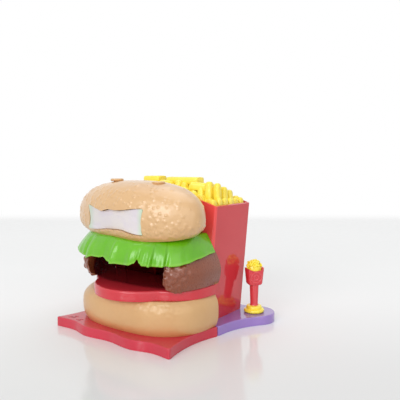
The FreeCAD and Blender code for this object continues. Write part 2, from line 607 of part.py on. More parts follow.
def make_carton():
    """The fries carton, with the fixed half of the upper hinge and four screw bosses in its corners."""
    box = tapered_box("CartonBox", "carton_low", "carton_high", "base_height", CARTON_TOP, REAR_FACE, "carton_depth")
    block = rounded("CartonRounded", box, size("carton_edge"), lambda edge: edge.ZLength > size("carton_height"))
    room = tapered_box("CartonRoom", "carton_low - skin", "carton_high - skin", "base_height", CARTON_TOP,
                       f"{REAR_FACE} + skin", "carton_depth - skin")
    door = primitive("Box", "DoorBox", Length="2 * door_half", Width="4 * skin", Height="door_height")
    bind(door, x="-door_half", y="-skin", z="base_height")
    doorway = rounded("Doorway", door, size("door_round"),
                      lambda edge: edge.YLength > size("skin") and edge.ZMin > size("door_height"))
    bosses = holes("CartonBoss", CARTON_SCREWS, "screw_radius + hub_wall", "base_height", "screw_long + hub_wall")
    inside = fuse("CartonInside", cut("CartonShell", block, room), *bosses)
    arch = primitive("Cylinder", "CartonArch", Height="2 * carton_depth",
                     Radius="(carton_high ^ 2 + carton_arch ^ 2) / (2 * carton_arch)")
    arch.Placement = FreeCAD.Placement(Vector(0, 0, 0), FreeCAD.Rotation(Vector(1, 0, 0), -90))
    bind(arch, y="-carton_depth / 2", z=f"{CARTON_TOP} - (carton_high ^ 2 + carton_arch ^ 2) / (2 * carton_arch)")
    trimmed = common("CartonTrimmed", inside, arch)
    ear = knuckle("CartonEar", EAR_FOOT, "ear_height", 1, f"-({HINGE_X}) - carton_low")
    pilots = holes("CartonPilot", CARTON_SCREWS, "screw_radius", "base_height", "screw_long")
    bore = hinge_bore("CartonBore", EAR_FOOT, "ear_height", "0")
    whole = fuse("CartonWhole", cut("CartonOpen", trimmed, doorway), *ear)
    return piece(cut("FriesCarton", whole, bore, *pilots), "fries_carton")


# Fries: upright sticks on a plug that wedges into the carton's rim, with broad ones lying across them
# Rows from front to back: how far their fries stop below the tallest, and how much lower still at both ends
FRY_COLUMNS = 13
FRY_ROWS = [(5.0, 13.0), (0.0, 3.0), (1.0, 6.0), (3.0, 8.5), (5.5, 11.0)]
# Lying fries: both ends as share of the half width, share of the depth and height above the carton's top,
# then their height and width
LYING_FRIES = [((-0.71, 0.5, 11.6), (-0.27, 0.5, 12.2), 8.4, 15.0),
               ((-0.06, 0.5, 9.6), (0.48, 0.5, 10.2), 8.4, 14.0),
               ((-0.26, 0.42, 7.4), (0.04, 0.2, 6.6), 8.4, 8.8),
               ((0.42, 0.26, 6.6), (0.74, 0.42, 5.0), 8.4, 8.8)]


def scatter(column, row, seed):
    """A repeatable number from 0 to 1 for one fry."""
    value = math.sin(127.1 * column + 311.7 * row + 74.7 * seed) * 437.585453
    return value - math.floor(value)


def fry(foot, tip, wide, deep):
    """One stick with bevelled ends between two points."""
    along = tip - foot
    stick = Part.makeBox(wide, deep, along.Length, Vector(-wide / 2, -deep / 2, 0))
    ends = [edge for edge in stick.Edges if edge.BoundBox.ZLength < along.Length / 2]
    stick = stick.makeChamfer(min(wide, deep) * 0.22, ends)
    stick.Placement = FreeCAD.Placement(foot, FreeCAD.Rotation(UP, along))
    return stick


def mound(inset):
    """The block under the fries, drawn in by an inset: it tapers with the carton and has an arched top."""
    wall, loose = size("skin"), size("loose")
    foot = size("base_height") + size("carton_height") - size("plug_sink")
    taper = (size("carton_high") - size("carton_low")) / (size("carton_height") + size("carton_arch"))
    half = size("carton_low") + taper * (foot - size("base_height")) - wall - loose
    near, far = wall + loose + inset, size("carton_depth") - wall - loose - inset
    tall = size("plug_tall") + size("mound_rise")
    rings = []
    for level in (0, tall):
        reach = half + taper * level - inset
        ring = [Vector(-reach, near, foot + level), Vector(reach, near, foot + level),
                Vector(reach, far, foot + level), Vector(-reach, far, foot + level)]
        rings.append(Part.makePolygon(ring + ring[:1]))
    block = Part.makeLoft(rings, True, True)
    radius = (half ** 2 + size("mound_rise") ** 2) / (2 * size("mound_rise"))
    axis = Vector(0, -far, foot + tall - radius)
    arch = Part.makeCylinder(radius - inset, 3 * far, axis, Vector(0, 1, 0))
    return block.common(arch), half, near, far, axis.z, radius


def make_fries():
    """The bunch of fries: rows of upright sticks on the mound and broad ones that lie across them."""
    side, lean, uneven = size("fry_side"), size("fry_lean"), size("fry_uneven")
    top = size("base_height") + size("carton_height") + size("carton_arch")
    block, half, near, far, centre, radius = mound(0)
    hollow = mound(size("skin"))[0]
    sticks = []
    for row, (drop, fall) in enumerate(FRY_ROWS):
        y = near + (far - near) * (row + 0.5) / len(FRY_ROWS)
        for column in range(FRY_COLUMNS):
            across = (2 * column + 1) / FRY_COLUMNS - 1
            x = half * across
            root = centre + math.sqrt(radius ** 2 - (abs(x) + side / 2) ** 2) - 0.45 * size("skin")
            crest = top + size("fry_rise") - drop - fall * across ** 2
            crest += uneven * (2 * scatter(column, row, 1) - 1)
            shift = (lean * (2 * scatter(column, row, 2) - 1 + across), lean * (scatter(column, row, 3) - 0.5))
            sticks.append(fry(Vector(x, y, root), Vector(x + shift[0], y + shift[1], crest), side, side))
    for start, end, tall, wide in LYING_FRIES:
        ends = [Vector(half * spot[0], near + (far - near) * spot[1], top + spot[2]) for spot in (start, end)]
        sticks.append(fry(*ends, tall, wide))
    bunch = block.cut(hollow).multiFuse(sticks)
    return piece(solid("FriesBunch", bunch.removeSplitter()), "fries_bunch")


# Rear base: a plate with a round lobe for the lamp, hollow underneath
def rear_curves(inset):
    """The lobed base's outline, drawn in by an inset: round its right side, lobe and back corner."""
    half, depth = size("napkin_half") - inset, size("rear_depth") - inset
    near = inset
    lobe, radius = Vector(size("lobe_x"), size("lobe_y"), 0), size("lobe_radius") - inset
    # The right side is one hollow arc, level with the seam at its start and tangent to the lobe
    shift, rise = size("napkin_half") - lobe.x, lobe.y
    full = size("lobe_radius")
    sweep = (shift ** 2 + rise ** 2 - full ** 2) / (2 * (full - shift))
    side_centre = Vector(size("napkin_half") + sweep, 0, 0)
    side_radius = sweep + inset
    toward = math.degrees(math.atan2(side_centre.y - lobe.y, side_centre.x - lobe.x))
    start = Vector(side_centre.x - math.sqrt(side_radius ** 2 - inset ** 2), near, 0)
    first = polar(lobe, radius, toward)
    begin = math.degrees(math.atan2(near - side_centre.y, start.x - side_centre.x))
    middle = polar(side_centre, side_radius, (begin % 360 + (toward + 180) % 360) / 2)
    # A small hollow arc joins the lobe to the straight back edge
    blend = size("lobe_blend") + inset
    drop = size("rear_depth") + size("lobe_blend") - lobe.y
    run = math.sqrt((full + size("lobe_blend")) ** 2 - drop ** 2)
    blend_centre = Vector(lobe.x - run, lobe.y + drop, 0)
    away = math.degrees(math.atan2(drop, -run))
    last = polar(lobe, radius, away)
    landing = Vector(blend_centre.x, depth, 0)
    blend_middle = polar(blend_centre, blend, (away - 180 - 90) / 2 if away > 0 else -90)
    corner = max(size("rear_corner") - inset, size("skin"))
    turn = Vector(-half + corner, depth - corner, 0)
    return [
        arc(start, middle, first),
        arc(first, polar(lobe, radius, (toward + away) / 2), last),
        arc(last, blend_middle, landing),
        line(landing, Vector(turn.x, depth, 0)),
        arc(Vector(turn.x, depth, 0), polar(turn, corner, 135), Vector(-half, turn.y, 0)),
        line(Vector(-half, turn.y, 0), Vector(-half, near, 0)),
        line(Vector(-half, near, 0), start),
    ]


def make_rear_base():
    """The lobed base, with the lamp's socket, the fixed lower knuckle and the snap tongue's slot."""
    plate = plate_body("Rear", rear_curves(0), "0", "base_height")
    hollow = plate_body("RearHollow", rear_curves(size("skin")), "0", "base_height - skin")
    lower = "base_height / 2 - knuckle_gap / 2"
    barrel = knuckle("RearKnuckle", "0", lower, 1, f"-({HINGE_X}) - napkin_half + 3 * skin")
    socket = holes("LampHub", [("lamp_x", "lamp_y")], "peg_radius + hub_wall", "base_height / 2", "base_height / 2")
    bosses = holes("RearBoss", CARTON_SCREWS, "screw_head + hub_wall / 2", "screw_cap", "base_height - screw_cap")
    shell = fuse("RearWhole", cut("RearShell", plate, hollow), *barrel, *socket, *bosses)
    tools = holes("RearHole", CARTON_SCREWS, "screw_radius + running", "0", "base_height")
    tools += holes("RearSink", CARTON_SCREWS, "screw_head + running", "0", "base_height - skin")
    tools += holes("LampBore", [("lamp_x", "lamp_y")], "peg_radius + running", "0", "base_height")
    tools.append(hinge_bore("RearBore", "0", "base_height", "0"))
    tools.append(hinge_room("RearRoom", lower, "base_height"))
    slot = primitive("Box", "TongueSlot", Length="tongue_wide + 2 * loose", Height="tongue_thick + 2 * loose",
                     Width="2 * skin + seam_gap")
    bind(slot, x="tongue_place - loose", y="-skin / 2", z="base_height / 2 - tongue_thick / 2 - loose")
    return piece(cut("RearBase", shell, slot, *tools), "rear_base")


# Hinge pins: each is fast in the rear knuckle and turns in the front one
def make_pins():
    """The lower and the upper hinge pin, each with a flat head above the front knuckle."""
    upper_top = f"{EAR_FOOT} + 2 * ear_height + knuckle_gap"
    for label, foot, top in (("lower_hinge_pin", "knuckle_gap", "base_height"), ("upper_hinge_pin", EAR_FOOT, upper_top)):
        shank = primitive("Cylinder", f"{label}Shank", Radius="pin_radius", Height=f"{top} + knuckle_gap / 2 - ({foot})")
        head = primitive("Cylinder", f"{label}Head", Radius="pin_head", Height="pin_cap")
        bind(shank, x=HINGE_X, z=foot)
        bind(head, x=HINGE_X, z=f"{top} + knuckle_gap / 2")
        piece(fuse(f"{label}Whole", shank, head), label)


# Street lamp: a turned foot, a post with a carton for its head, and a cap of small fries
FOOT_FOOT = "base_height + loose"
STEM_FOOT = f"{FOOT_FOOT} + foot_height"
HEAD_FOOT = f"{STEM_FOOT} + stem_height"
HEAD_TOP = f"{HEAD_FOOT} + head_height"


def make_lamp_foot():
    """The yellow foot: two rounded steps, turned about the lamp's axis."""
    radius, tall, bore = size("foot_radius"), size("foot_height"), size("peg_radius")
    waist, step = 0.74 * radius, 0.56 * tall
    bulge = step / 2
    half_face = edge_loop(
        line(Vector(bore, 0, 0), Vector(radius - bulge, 0, 0)),
        arc(Vector(radius - bulge, 0, 0), Vector(radius, 0, bulge), Vector(radius - bulge, 0, step)),
        line(Vector(radius - bulge, 0, step), Vector(waist, 0, step)),
        arc(Vector(waist, 0, step), Vector(waist - 0.06 * radius, 0, 0.82 * tall), Vector(0.5 * radius, 0, tall)),
        line(Vector(0.5 * radius, 0, tall), Vector(bore, 0, tall)),
        line(Vector(bore, 0, tall), Vector(bore, 0, 0)),
    )
    turned = Part.Face(half_face).revolve(Vector(0, 0, 0), UP, 360)
    foot = solid("LampFoot", turned)
    bind(foot, x="lamp_x", y="lamp_y", z=FOOT_FOOT)
    return piece(foot, "lamp_foot")


def lamp_frame(item):
    """Turns a lamp piece to the lamp's bearing and stands it on the lamp's axis."""
    item.Placement = FreeCAD.Placement(Vector(0, 0, 0), FreeCAD.Rotation(UP, size("lamp_turn")))
    bind(item, x="lamp_x", y="lamp_y")
    return item


def head_loft(inset, foot, top):
    """The head's tapered box between two levels, drawn in by an inset."""
    low, high, deep = size("head_low"), size("head_high"), size("head_deep") - inset
    tall = size("head_height")
    rings = []
    for level in (foot, top):
        half = low + (high - low) * level / tall - inset
        shape = deep * (0.8 + 0.2 * level / tall)
        ring = [Vector(-half, -shape, level), Vector(half, -shape, level), Vector(half, shape, level),
                Vector(-half, shape, level)]
        rings.append(Part.makePolygon(ring + ring[:1]))
    return Part.makeLoft(rings, True, True)


def make_lamp_post():
    """The red post: a peg, a stem that widens upwards, and a small carton with a dipped rim."""
    tall, wall, high = size("head_height"), size("head_wall"), size("head_high")
    head_foot = size("base_height") + size("loose") + size("foot_height") + size("stem_height")
    stem_foot = head_foot - size("stem_height")
    box = head_loft(0, 0, tall)
    edges = [e for e in box.Edges if e.BoundBox.ZLength > tall / 2]
    box = box.makeFillet(size("head_round"), edges)
    dip = (high ** 2 + size("head_dip") ** 2) / (2 * size("head_dip"))
    scoop = Part.makeCylinder(dip, 4 * high, Vector(0, -2 * high, tall - size("head_dip") + dip), Vector(0, 1, 0))
    seat = head_loft(wall, tall * 0.62, tall * 1.2)
    badge = Part.makeCylinder(size("badge_radius"), size("head_deep") + size("badge_proud"),
                              Vector(0, 0, tall * 0.47), Vector(0, -1, 0))
    head = box.cut(scoop).fuse(badge).cut(seat)
    head.translate(Vector(0, 0, head_foot))
    stem = Part.makeCone(size("stem_low"), size("stem_high"), size("stem_height"), Vector(0, 0, stem_foot))
    peg_foot = size("nut_thick")
    peg = Part.makeCylinder(size("peg_radius"), stem_foot - peg_foot, Vector(0, 0, peg_foot))
    post = head.multiFuse([stem, peg]).removeSplitter()
    return piece(lamp_frame(solid("LampPost", post)), "lamp_post")


def make_lamp_fries():
    """The lamp's cap: a low mound of small fries that drops into the head."""
    tall, wall, chip = size("head_height"), size("head_wall"), size("chip_side")
    loose = size("running")
    level = size("base_height") + size("loose") + size("foot_height") + size("stem_height")
    plug = head_loft(wall + loose, tall * 0.62 + loose, tall - size("head_dip"))
    half, deep = size("head_high") - wall - chip / 4, size("head_deep") - wall - chip / 4
    brim = tall - size("head_dip")
    bulge = FreeCAD.Matrix()
    bulge.scale(half, deep, 0.82 * size("cap_rise"))
    bulge.move(Vector(0, 0, brim))
    dome = Part.makeSphere(1, Vector(0, 0, 0), UP, 0, 90, 360).transformGeometry(bulge)
    draw = random.Random(11)
    chips = [dome]
    count = 15
    for number in range(count):
        across = (number % 5 - 2) / 2.1
        along = (number // 5 - 1) / 1.3
        crown = size("cap_rise") * (1 - 0.45 * across ** 2 - 0.35 * along ** 2)
        height = crown + size("head_dip") - draw.uniform(0, chip)
        foot = Vector(across * half * 0.72, along * deep * 0.66, brim - chip / 2)
        lean = Vector(0.28 * across + draw.uniform(-0.12, 0.12), 0.2 * along + draw.uniform(-0.12, 0.12), 1)
        chips.append(fry(foot, foot + lean * height, chip, chip))
    mound = plug.multiFuse(chips).removeSplitter()
    lift = FreeCAD.Matrix()
    lift.move(Vector(0, 0, level))
    return piece(lamp_frame(solid("LampFries", mound.transformed(lift, True))), "lamp_fries")


def make_push_nut():
    """The push nut that holds the lamp's peg under the base."""
    outer = primitive("Cylinder", "NutOuter", Radius="nut_radius", Height="nut_thick")
    inner = primitive("Cylinder", "NutBore", Radius="peg_radius", Height="nut_thick")
    for ring in (outer, inner):
        bind(ring, x="lamp_x", y="lamp_y", z="base_height / 2 - loose - nut_thick")
    return piece(cut("PushNut", outer, inner), "push_nut")


def write_pieces():
    """Checks every object and every piece, then writes one file for each piece."""
    doc.recompute()
    failed = [o.Name for o in doc.Objects if "Invalid" in o.State or "Error" in o.State]
    if failed:
        raise RuntimeError(f"these objects failed: {failed}")
    os.makedirs("parts", exist_ok=True)
    for item in PIECES:
        shape = item.Shape
        if shape.isNull() or not shape.isValid() or not shape.Solids:
            raise RuntimeError(f"{item.Label} is not a valid solid")
        shape.exportStep(f"parts/{item.Label}.step")
        print(f"{item.Label}: {len(shape.Solids)} solid, {shape.Volume / 1000:.2f} cm3")


make_napkin()
make_lower_bun()
make_tomato()
make_patty()
make_lettuce()
make_crown()
make_carton()
make_fries()
make_rear_base()
make_pins()
make_lamp_foot()
make_lamp_post()
make_lamp_fries()
make_push_nut()
screws("napkin_screws", NAPKIN_SCREWS, "base_height - skin - screw_cap")
screws("crown_screws", CROWN_SCREWS, f"{LEAF_TOP} - screw_cap")
screws("carton_screws", CARTON_SCREWS, "base_height - skin - screw_cap")
write_pieces()
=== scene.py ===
"""Looks of a burger and fries stand: its food shapes, its glossy moulded plastic and a pale studio floor.

Every length is in metres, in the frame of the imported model: +Z is up and -Y is the front.
"""

import math

import bmesh
import bpy
import numpy as np
from bpy.props import FloatProperty, FloatVectorProperty, IntProperty, PointerProperty
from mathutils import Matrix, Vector


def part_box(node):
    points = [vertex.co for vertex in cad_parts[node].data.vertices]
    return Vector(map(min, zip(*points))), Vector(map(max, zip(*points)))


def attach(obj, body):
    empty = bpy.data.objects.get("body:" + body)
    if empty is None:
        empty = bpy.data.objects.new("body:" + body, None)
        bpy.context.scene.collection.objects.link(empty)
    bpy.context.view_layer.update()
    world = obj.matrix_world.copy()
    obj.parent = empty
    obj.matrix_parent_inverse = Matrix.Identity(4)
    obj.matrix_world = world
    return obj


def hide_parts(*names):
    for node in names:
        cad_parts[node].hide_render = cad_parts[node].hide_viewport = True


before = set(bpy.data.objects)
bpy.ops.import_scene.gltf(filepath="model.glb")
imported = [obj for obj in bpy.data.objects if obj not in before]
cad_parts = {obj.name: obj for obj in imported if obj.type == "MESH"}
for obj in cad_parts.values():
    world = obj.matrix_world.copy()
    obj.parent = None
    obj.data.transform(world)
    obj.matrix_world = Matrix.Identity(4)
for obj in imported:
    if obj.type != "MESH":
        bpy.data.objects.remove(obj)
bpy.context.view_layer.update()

MM = 0.001
# Distances below which points and edges are merged, and the least length to divide by
WELD = 1e-6
SLIVER = 1e-7
TINY = 1e-12
# Whole numbers that scramble the lattice of the noise
HASH_PRIMES = (374761393, 668265263, 2246822519, 3266489917, 1274126177)
# Values of a noise texture between which one tone or gloss passes into the other
NOISE_SPAN = (0.3, 0.7)

bl_info = {
    "name": "Burger stand looks",
    "version": (1, 0, 0),
    "blender": (4, 5, 0),
    "location": "View3D > Sidebar > Burger stand",
    "description": "Shapes and finishes of a burger and fries stand around its packed model",
    "category": "Object",
}


# Settings that a user would change

def number(name, meaning, value, **kind):
    """A plain number of the stand."""
    return FloatProperty(name=name, description=meaning, default=value, **kind)


def length(name, meaning, millimetres):
    """A size of the stand, written in millimetres and kept in metres."""
    return number(name, meaning, millimetres * MM, unit="LENGTH", precision=5)


def linear(*levels):
    """A screen colour of levels 0 to 255 as linear light."""
    return tuple(((level / 255 + 0.055) / 1.055) ** 2.4 for level in levels)


def colour(name, meaning, *levels):
    """A colour of the stand, written as screen levels."""
    return FloatVectorProperty(name=name, description=meaning, subtype="COLOR", size=3, min=0.0, max=1.0,
                               default=linear(*levels))


class BurgerSizes(bpy.types.PropertyGroup):
    """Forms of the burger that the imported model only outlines."""

    square: number("Squareness", "Power of the burger's plan, 2 is an oval", 2.6)
    peel: length("Peel", "Height of the uneven skin of the buns", 0.16)
    heel_round: length("Heel rounding", "How far the lower bun's edges draw in", 4.6)
    heel_left: number("Heel left", "Extra rounding of the lower bun's upper edge on its left", 1.0)
    heel_square: number("Heel squareness", "Power of the lower bun's plan", 2.75)
    slice_round: length("Slice rounding", "Rounding of the tomato slice's upper edge", 2.2)
    slice_blend: length("Slice blend", "Softness where the slice's band meets its porch", 1.2)
    slice_shift: length("Slice shift", "Slice's middle to the right of the bun's", 2.6)
    slice_tuck: number("Slice tuck", "Part by which the slice's band is smaller at its left corner", 0.05,
                       subtype="FACTOR")
    band_depth: length("Band depth", "Seam to the front of the slice's band", 58.0)
    porch_radius: length("Porch radius", "Radius of the slice's round porch", 48.0)
    patty_half: length("Patty half", "Half width of the patty", 77.0)
    patty_depth: length("Patty depth", "Seam to the patty's front", 67.0)
    patty_wall: length("Patty wall", "Thickness of the patty where it is widest", 12.5)
    patty_square: number("Patty squareness", "Power of the patty's plan", 3.1)
    patty_draw: length("Patty draw", "How far the patty's top draws in", 15.0)
    mouth_turn: number("Right arm", "Stretch of the patty's bow that its right arm takes", 0.277)
    left_turn: number("Left arm", "Stretch of the patty's bow that its left arm takes", 0.21)
    arm_slant: number("Arm slant", "How much further the left arm's foot reaches than its top", 0.25)
    arm_tuck: length("Arm tuck", "How far the foot of the left arm's end draws in", 10.0)
    arm_round: number("Arm rounding", "Stretch of the bow that rounds an arm's end", 0.05)
    mouth_rise: number("Mouth rise", "Height of the mouth as a part of the patty's", 0.83, subtype="FACTOR")
    pebble: length("Pebbles", "Height of the bumps on the patty's ends", 1.25)
    ear_height: length("Ear", "Height of each knuckle of the upper hinge", 7.0)
    leaf_half: length("Leaf half", "Half width of the leaf at its lip", 76.2)
    leaf_depth: length("Leaf depth", "Seam to the leaf's lip in front", 71.0)
    leaf_shoulder: length("Leaf shoulder", "Shoulder of the leaf inside its lip", 9.0)
    leaf_flange: length("Leaf flange", "Width of the leaf's level flange", 14.5)
    leaf_drop: length("Leaf drop", "Drop of the lip below the flange in front", 22.0)
    leaf_lift: length("Leaf lift", "Rise of the lip towards the seam", 7.0)
    leaf_thick: length("Leaf thickness", "Thickness of the leaf", 1.7)
    leaf_slant: number("Leaf slant", "How far the pleats lean along the bow", 0.022)
    leaf_dent: length("Leaf dents", "Height of the leaf's soft dents", 0.25)
    leaf_break: number("Leaf break", "Part of the leaf's width that is level", 0.3, subtype="FACTOR")
    crown_lean: length("Crown lean", "Rise of the upper bun's foot from its front to the seam", 5.0)
    crown_dip: length("Crown dip", "How far the upper bun's foot hangs lower in front", 1.5)
    crown_side: length("Crown side", "Rise of the upper bun's foot towards its left end", 3.3)
    crown_deep: length("Crown depth", "Half depth of the upper bun's oval", 37.0)
    crown_rim: number("Crown rim", "Inner edge of the upper bun's foot", 0.955)
    crown_skin: length("Crown skin", "Wall of the upper bun", 2.2)
    floor_draw: length("Floor draw", "How far the plate under the upper bun draws in behind the leaf", 6.0)
    crown_widest: number("Crown widest", "Level at which the upper bun is widest", 0.32)
    crown_square: number("Crown squareness", "Power of the upper bun's profile", 2.5)
    seed_count: IntProperty(name="Seeds", description="Number of seeds on the upper bun", default=620)
    seed_height: number("Seed height", "Height of a seed as a part of its radius", 0.24)
    stud_grow: number("Stud size", "Radius of a stud as a part of the packed one", 1.12)
    stud_ahead: length("Stud place", "How far the studs sit in front of the dome's middle", 4.0)
    stud_aside: length("Stud shift", "How far the studs sit to the right of the packed ones", 2.0)
    stud_sink: length("Stud sink", "How far the right stud sinks in, and the left one rises by half", 1.4)
    stud_head: length("Stud head", "Thickness of a stud's head", 2.6)


class StandForms(bpy.types.PropertyGroup):
    """Forms of the bases, the fries and the lamp."""

    seam: length("Seam", "Gap between the front and the rear half", 0.4)
    skin: length("Skin", "Wall of the hollow bases", 2.2)
    base_edge: length("Base edge", "Rounding of both bases' upper edges", 1.1)
    napkin_half: length("Napkin half", "Half width of the napkin", 75.0)
    napkin_depth: length("Napkin depth", "Seam to the napkin's front corners", 73.0)
    seam_reach: length("Seam reach", "How far both bases draw out at the seam's right end", 2.4)
    napkin_point: length("Napkin point", "How far the napkin's left corner is drawn out", 3.5)
    napkin_waist: length("Napkin waist", "How far the napkin's sides draw in", 5.0)
    napkin_wave: length("Napkin wave", "Height of the napkin's front waves", 3.4)
    rear_depth: length("Rear depth", "Seam to the back of the lobed base", 79.0)
    rear_corner: length("Rear corner", "Rounding of the lobed base's back corner", 14.0)
    lobe: FloatVectorProperty(name="Lobe", description="Centre of the lamp's lobe", unit="LENGTH", size=2,
                              default=(0.082, 0.067))
    lobe_radius: length("Lobe radius", "Radius of the lamp's lobe", 19.5)
    lobe_blend: length("Lobe blend", "Rounding between the lobe and the back edge", 14.0)
    knuckle_radius: length("Knuckle", "Radius of the hinge knuckles", 3.99)
    knuckle_reach: length("Knuckle reach", "Hinge axis to the end of a knuckle's web", 11.0)
    pin_radius: length("Pin", "Radius of the hinge pins", 1.5)
    fry_half: length("Fry half", "Half thickness of a fry", 4.6)
    fry_soft: length("Fry ends", "Rounding of a fry's ends", 3.1)
    fry_chamfer: length("Fry chamfer", "Rounding of a lying fry's ends", 1.0)
    fry_span: length("Fry span", "Half width of the bunch", 69.7)
    fry_near: length("Fry near", "Seam to the front of the bunch", 2.5)
    fry_far: length("Fry far", "Seam to the back of the bunch", 63.5)
    fry_seat: length("Fry seat", "Height of the carton's arched top", 139.5)
    fry_arch: length("Fry arch", "How much lower the fries' bed is at its ends", 18.0)
    fry_bed: length("Fry bed", "Height of the bed between the fries above the carton's rim", 4.5)
    fry_rise: length("Fry rise", "Height of the middle fries above the carton's top", 10.5)
    fry_uneven: length("Fry unevenness", "How much the fries of one row differ in height", 2.4)
    fry_short: length("Fry short", "How much lower the fries between the others stand", 2.2)
    fry_gather: number("Fry gather", "Part of the bunch's width that the tall fries take", 0.965,
                       subtype="FACTOR")
    fry_lean: length("Fry lean", "How far a fry's tip stands off its foot", 2.2)
    lamp_turn: number("Lamp turn", "Bearing of the lamp's face from the front", math.radians(50.0),
                      subtype="ANGLE")
    stem_low: length("Stem foot", "Radius of the lamp's stem at its foot", 4.1)
    stem_high: length("Stem head", "Radius of the lamp's stem at its head", 4.9)
    head_height: length("Head height", "Height of the lamp's head", 19.0)
    head_low: length("Head foot", "Half width of the head at its foot", 7.8)
    head_high: length("Head rim", "Half width of the head at its rim", 9.6)
    head_deep: length("Head depth", "Half depth of the head", 7.2)
    head_dip: length("Head dip", "Dip of the rim between its corners", 3.0)
    badge_radius: length("Badge", "Radius of the outer plain ring on the head", 5.7)
    badge_bead: length("Badge bead", "Half thickness of the rings' bead", 0.9)
    cap_rise: length("Cap rise", "Height of the lamp's fries above the rim", 14.0)
    chip_count: IntProperty(name="Chips", description="Number of the lamp's small fries", default=18)
    chip_half: length("Chip half", "Half thickness of a small fry", 1.15)
    chip_long: length("Chip reach", "Half length of a small fry", 5.2)


class StandColours(bpy.types.PropertyGroup):
    """Base colours of the moulded pieces, and the colours of painted light and shade on some of them."""

    bun: colour("Bun", "Tan of both buns", 215, 173, 121)
    bun_mid: colour("Bun middle", "Second tan of the buns' soft patches", 209, 165, 113)
    bun_toast: colour("Toast", "Warmer tan along the buns' edges", 204, 146, 90)
    leaf: colour("Leaf", "Green of the lettuce", 105, 184, 10)
    leaf_deep: colour("Leaf deep", "Second green in the lettuce", 98, 177, 10)
    leaf_lip: colour("Leaf lip", "Pale green of the leaf's thin edge", 150, 208, 70)
    patty: colour("Patty", "Brown of the patty", 135, 69, 40)
    patty_dark: colour("Char", "Darker brown in the patty", 128, 64, 38)
    tomato: colour("Tomato", "Red of the tomato slice", 210, 50, 62)
    tomato_deep: colour("Tomato deep", "Second red of the tomato slice", 204, 46, 58)
    napkin: colour("Napkin", "Red of the napkin", 205, 52, 72)
    napkin_deep: colour("Napkin deep", "Second red of the napkin", 198, 46, 66)
    # Painted shade: a darker red in the napkin's fold marks
    napkin_mark: colour("Napkin mark", "Darker red of the napkin's fold marks", 150, 22, 46)
    carton: colour("Carton", "Red of the carton", 216, 60, 68)
    carton_deep: colour("Carton deep", "Second red of the carton", 210, 54, 63)
    # Painted light: a brighter red on the carton's front panel, which lies in the burger's shade
    carton_painted_light: colour("Carton lit", "Brighter red of the carton's front panel", 246, 80, 80)
    # Painted shade: dark red inside the carton, around its door behind the burger, and in the patty's room
    carton_painted_shade: colour("Carton dark", "Dark red inside the carton", 96, 14, 18)
    fries: colour("Fries", "Yellow of the fries", 255, 230, 72)
    fries_pale: colour("Fries pale", "Paler yellow of the fries", 255, 238, 100)
    # Painted shade on the bed between the fries, and a random deeper tone of some fries
    fries_deep_and_shade: colour("Fries deep", "Deeper yellow between the fries", 246, 210, 40)
    base: colour("Base", "Purple of the rear base", 152, 122, 196)
    base_deep: colour("Base deep", "Second purple of the rear base", 147, 117, 191)
    lamp: colour("Lamp", "Red of the lamp", 224, 68, 76)
    lamp_deep: colour("Lamp deep", "Second red of the lamp", 216, 60, 68)
    lamp_mark: colour("Lamp mark", "Lighter red of the lamp's rings", 236, 96, 104)
    lamp_foot: colour("Lamp foot", "Yellow of the lamp's foot", 252, 236, 60)
    sign: colour("Sign", "Off white of the bare sign", 222, 216, 213)
    sign_pale: colour("Sign pale", "Faint lilac in the sign", 216, 208, 216)
    sign_mint: colour("Sign mint", "Mint tint of the sign's corners", 184, 214, 178)
    steel: colour("Steel", "Plated screws and pins", 190, 192, 196)


class StageSettings(bpy.types.PropertyGroup):
    """Camera, floor and lights."""

    lens: number("Lens", "Focal length of the camera, in millimetres", 42.3)
    place: FloatVectorProperty(name="Camera", description="Place of the camera", unit="LENGTH", size=3,
                               default=(0.3262, -0.3758, 0.1645))
    pitch: number("Pitch", "Tilt below the level", 0.0681, subtype="ANGLE")
    bearing: number("Bearing", "Turn to the left of +Y", 0.626, subtype="ANGLE")
    floor_reach: number("Floor reach", "Camera to the floor's far edge", 1.66, unit="LENGTH")
    floor: colour("Floor", "Pale floor", 247, 248, 248)
    # Painted shade: the floor is darker close to the camera
    floor_near_shade: colour("Floor near", "Floor close to the camera", 226, 227, 227)
    world: number("World", "Strength of the even light all round", 0.42)
    key: number("Key", "Front lamp, in watts", 27.0)
    top: number("Top", "Lamp overhead, in watts", 24.0)
    side: number("Side", "Right hand lamp, in watts", 14.0)


def sizes():
    """The burger's forms."""
    return bpy.context.scene.burger_sizes


def forms():
    """The forms of the bases, the fries and the lamp."""
    return bpy.context.scene.stand_forms


def colours():
    """The base colours."""
    return bpy.context.scene.stand_colours


# Numbers shared by the surfaces

def corners(node):
    """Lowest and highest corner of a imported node, as arrays."""
    low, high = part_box(node)
    return np.array(low), np.array(high)


def hashed(lattice, seed):
    """A value from -1 to 1 for each lattice point: its numbers are multiplied, added and scrambled."""
    value = sum(lattice[..., axis] * HASH_PRIMES[axis] for axis in range(3)) + seed * HASH_PRIMES[3]
    value = (value ^ (value >> 13)) * HASH_PRIMES[4]
    return ((value ^ (value >> 16)) & 0xFFFF) / 32767.5 - 1.0


def noise(points, cell, seed=0):
    """Smooth noise from -1 to 1: the hashed corners of a cubic lattice, blended by smooth steps."""
    spot = points / cell
    base = np.floor(spot).astype(np.int64)
    part = spot - base
    part = part * part * (3.0 - 2.0 * part)
    total = np.zeros(points.shape[:-1])
    for corner in range(8):
        offset = np.array([corner & 1, corner >> 1 & 1, corner >> 2 & 1])
        total += hashed(base + offset, seed) * np.prod(np.where(offset, part, 1.0 - part), axis=-1)
    return total


def step(start, end, value):
    """A smooth rise from 0 at start to 1 at end."""
    part = np.clip((value - start) / (end - start), 0.0, 1.0)
    return part * part * (3.0 - 2.0 * part)


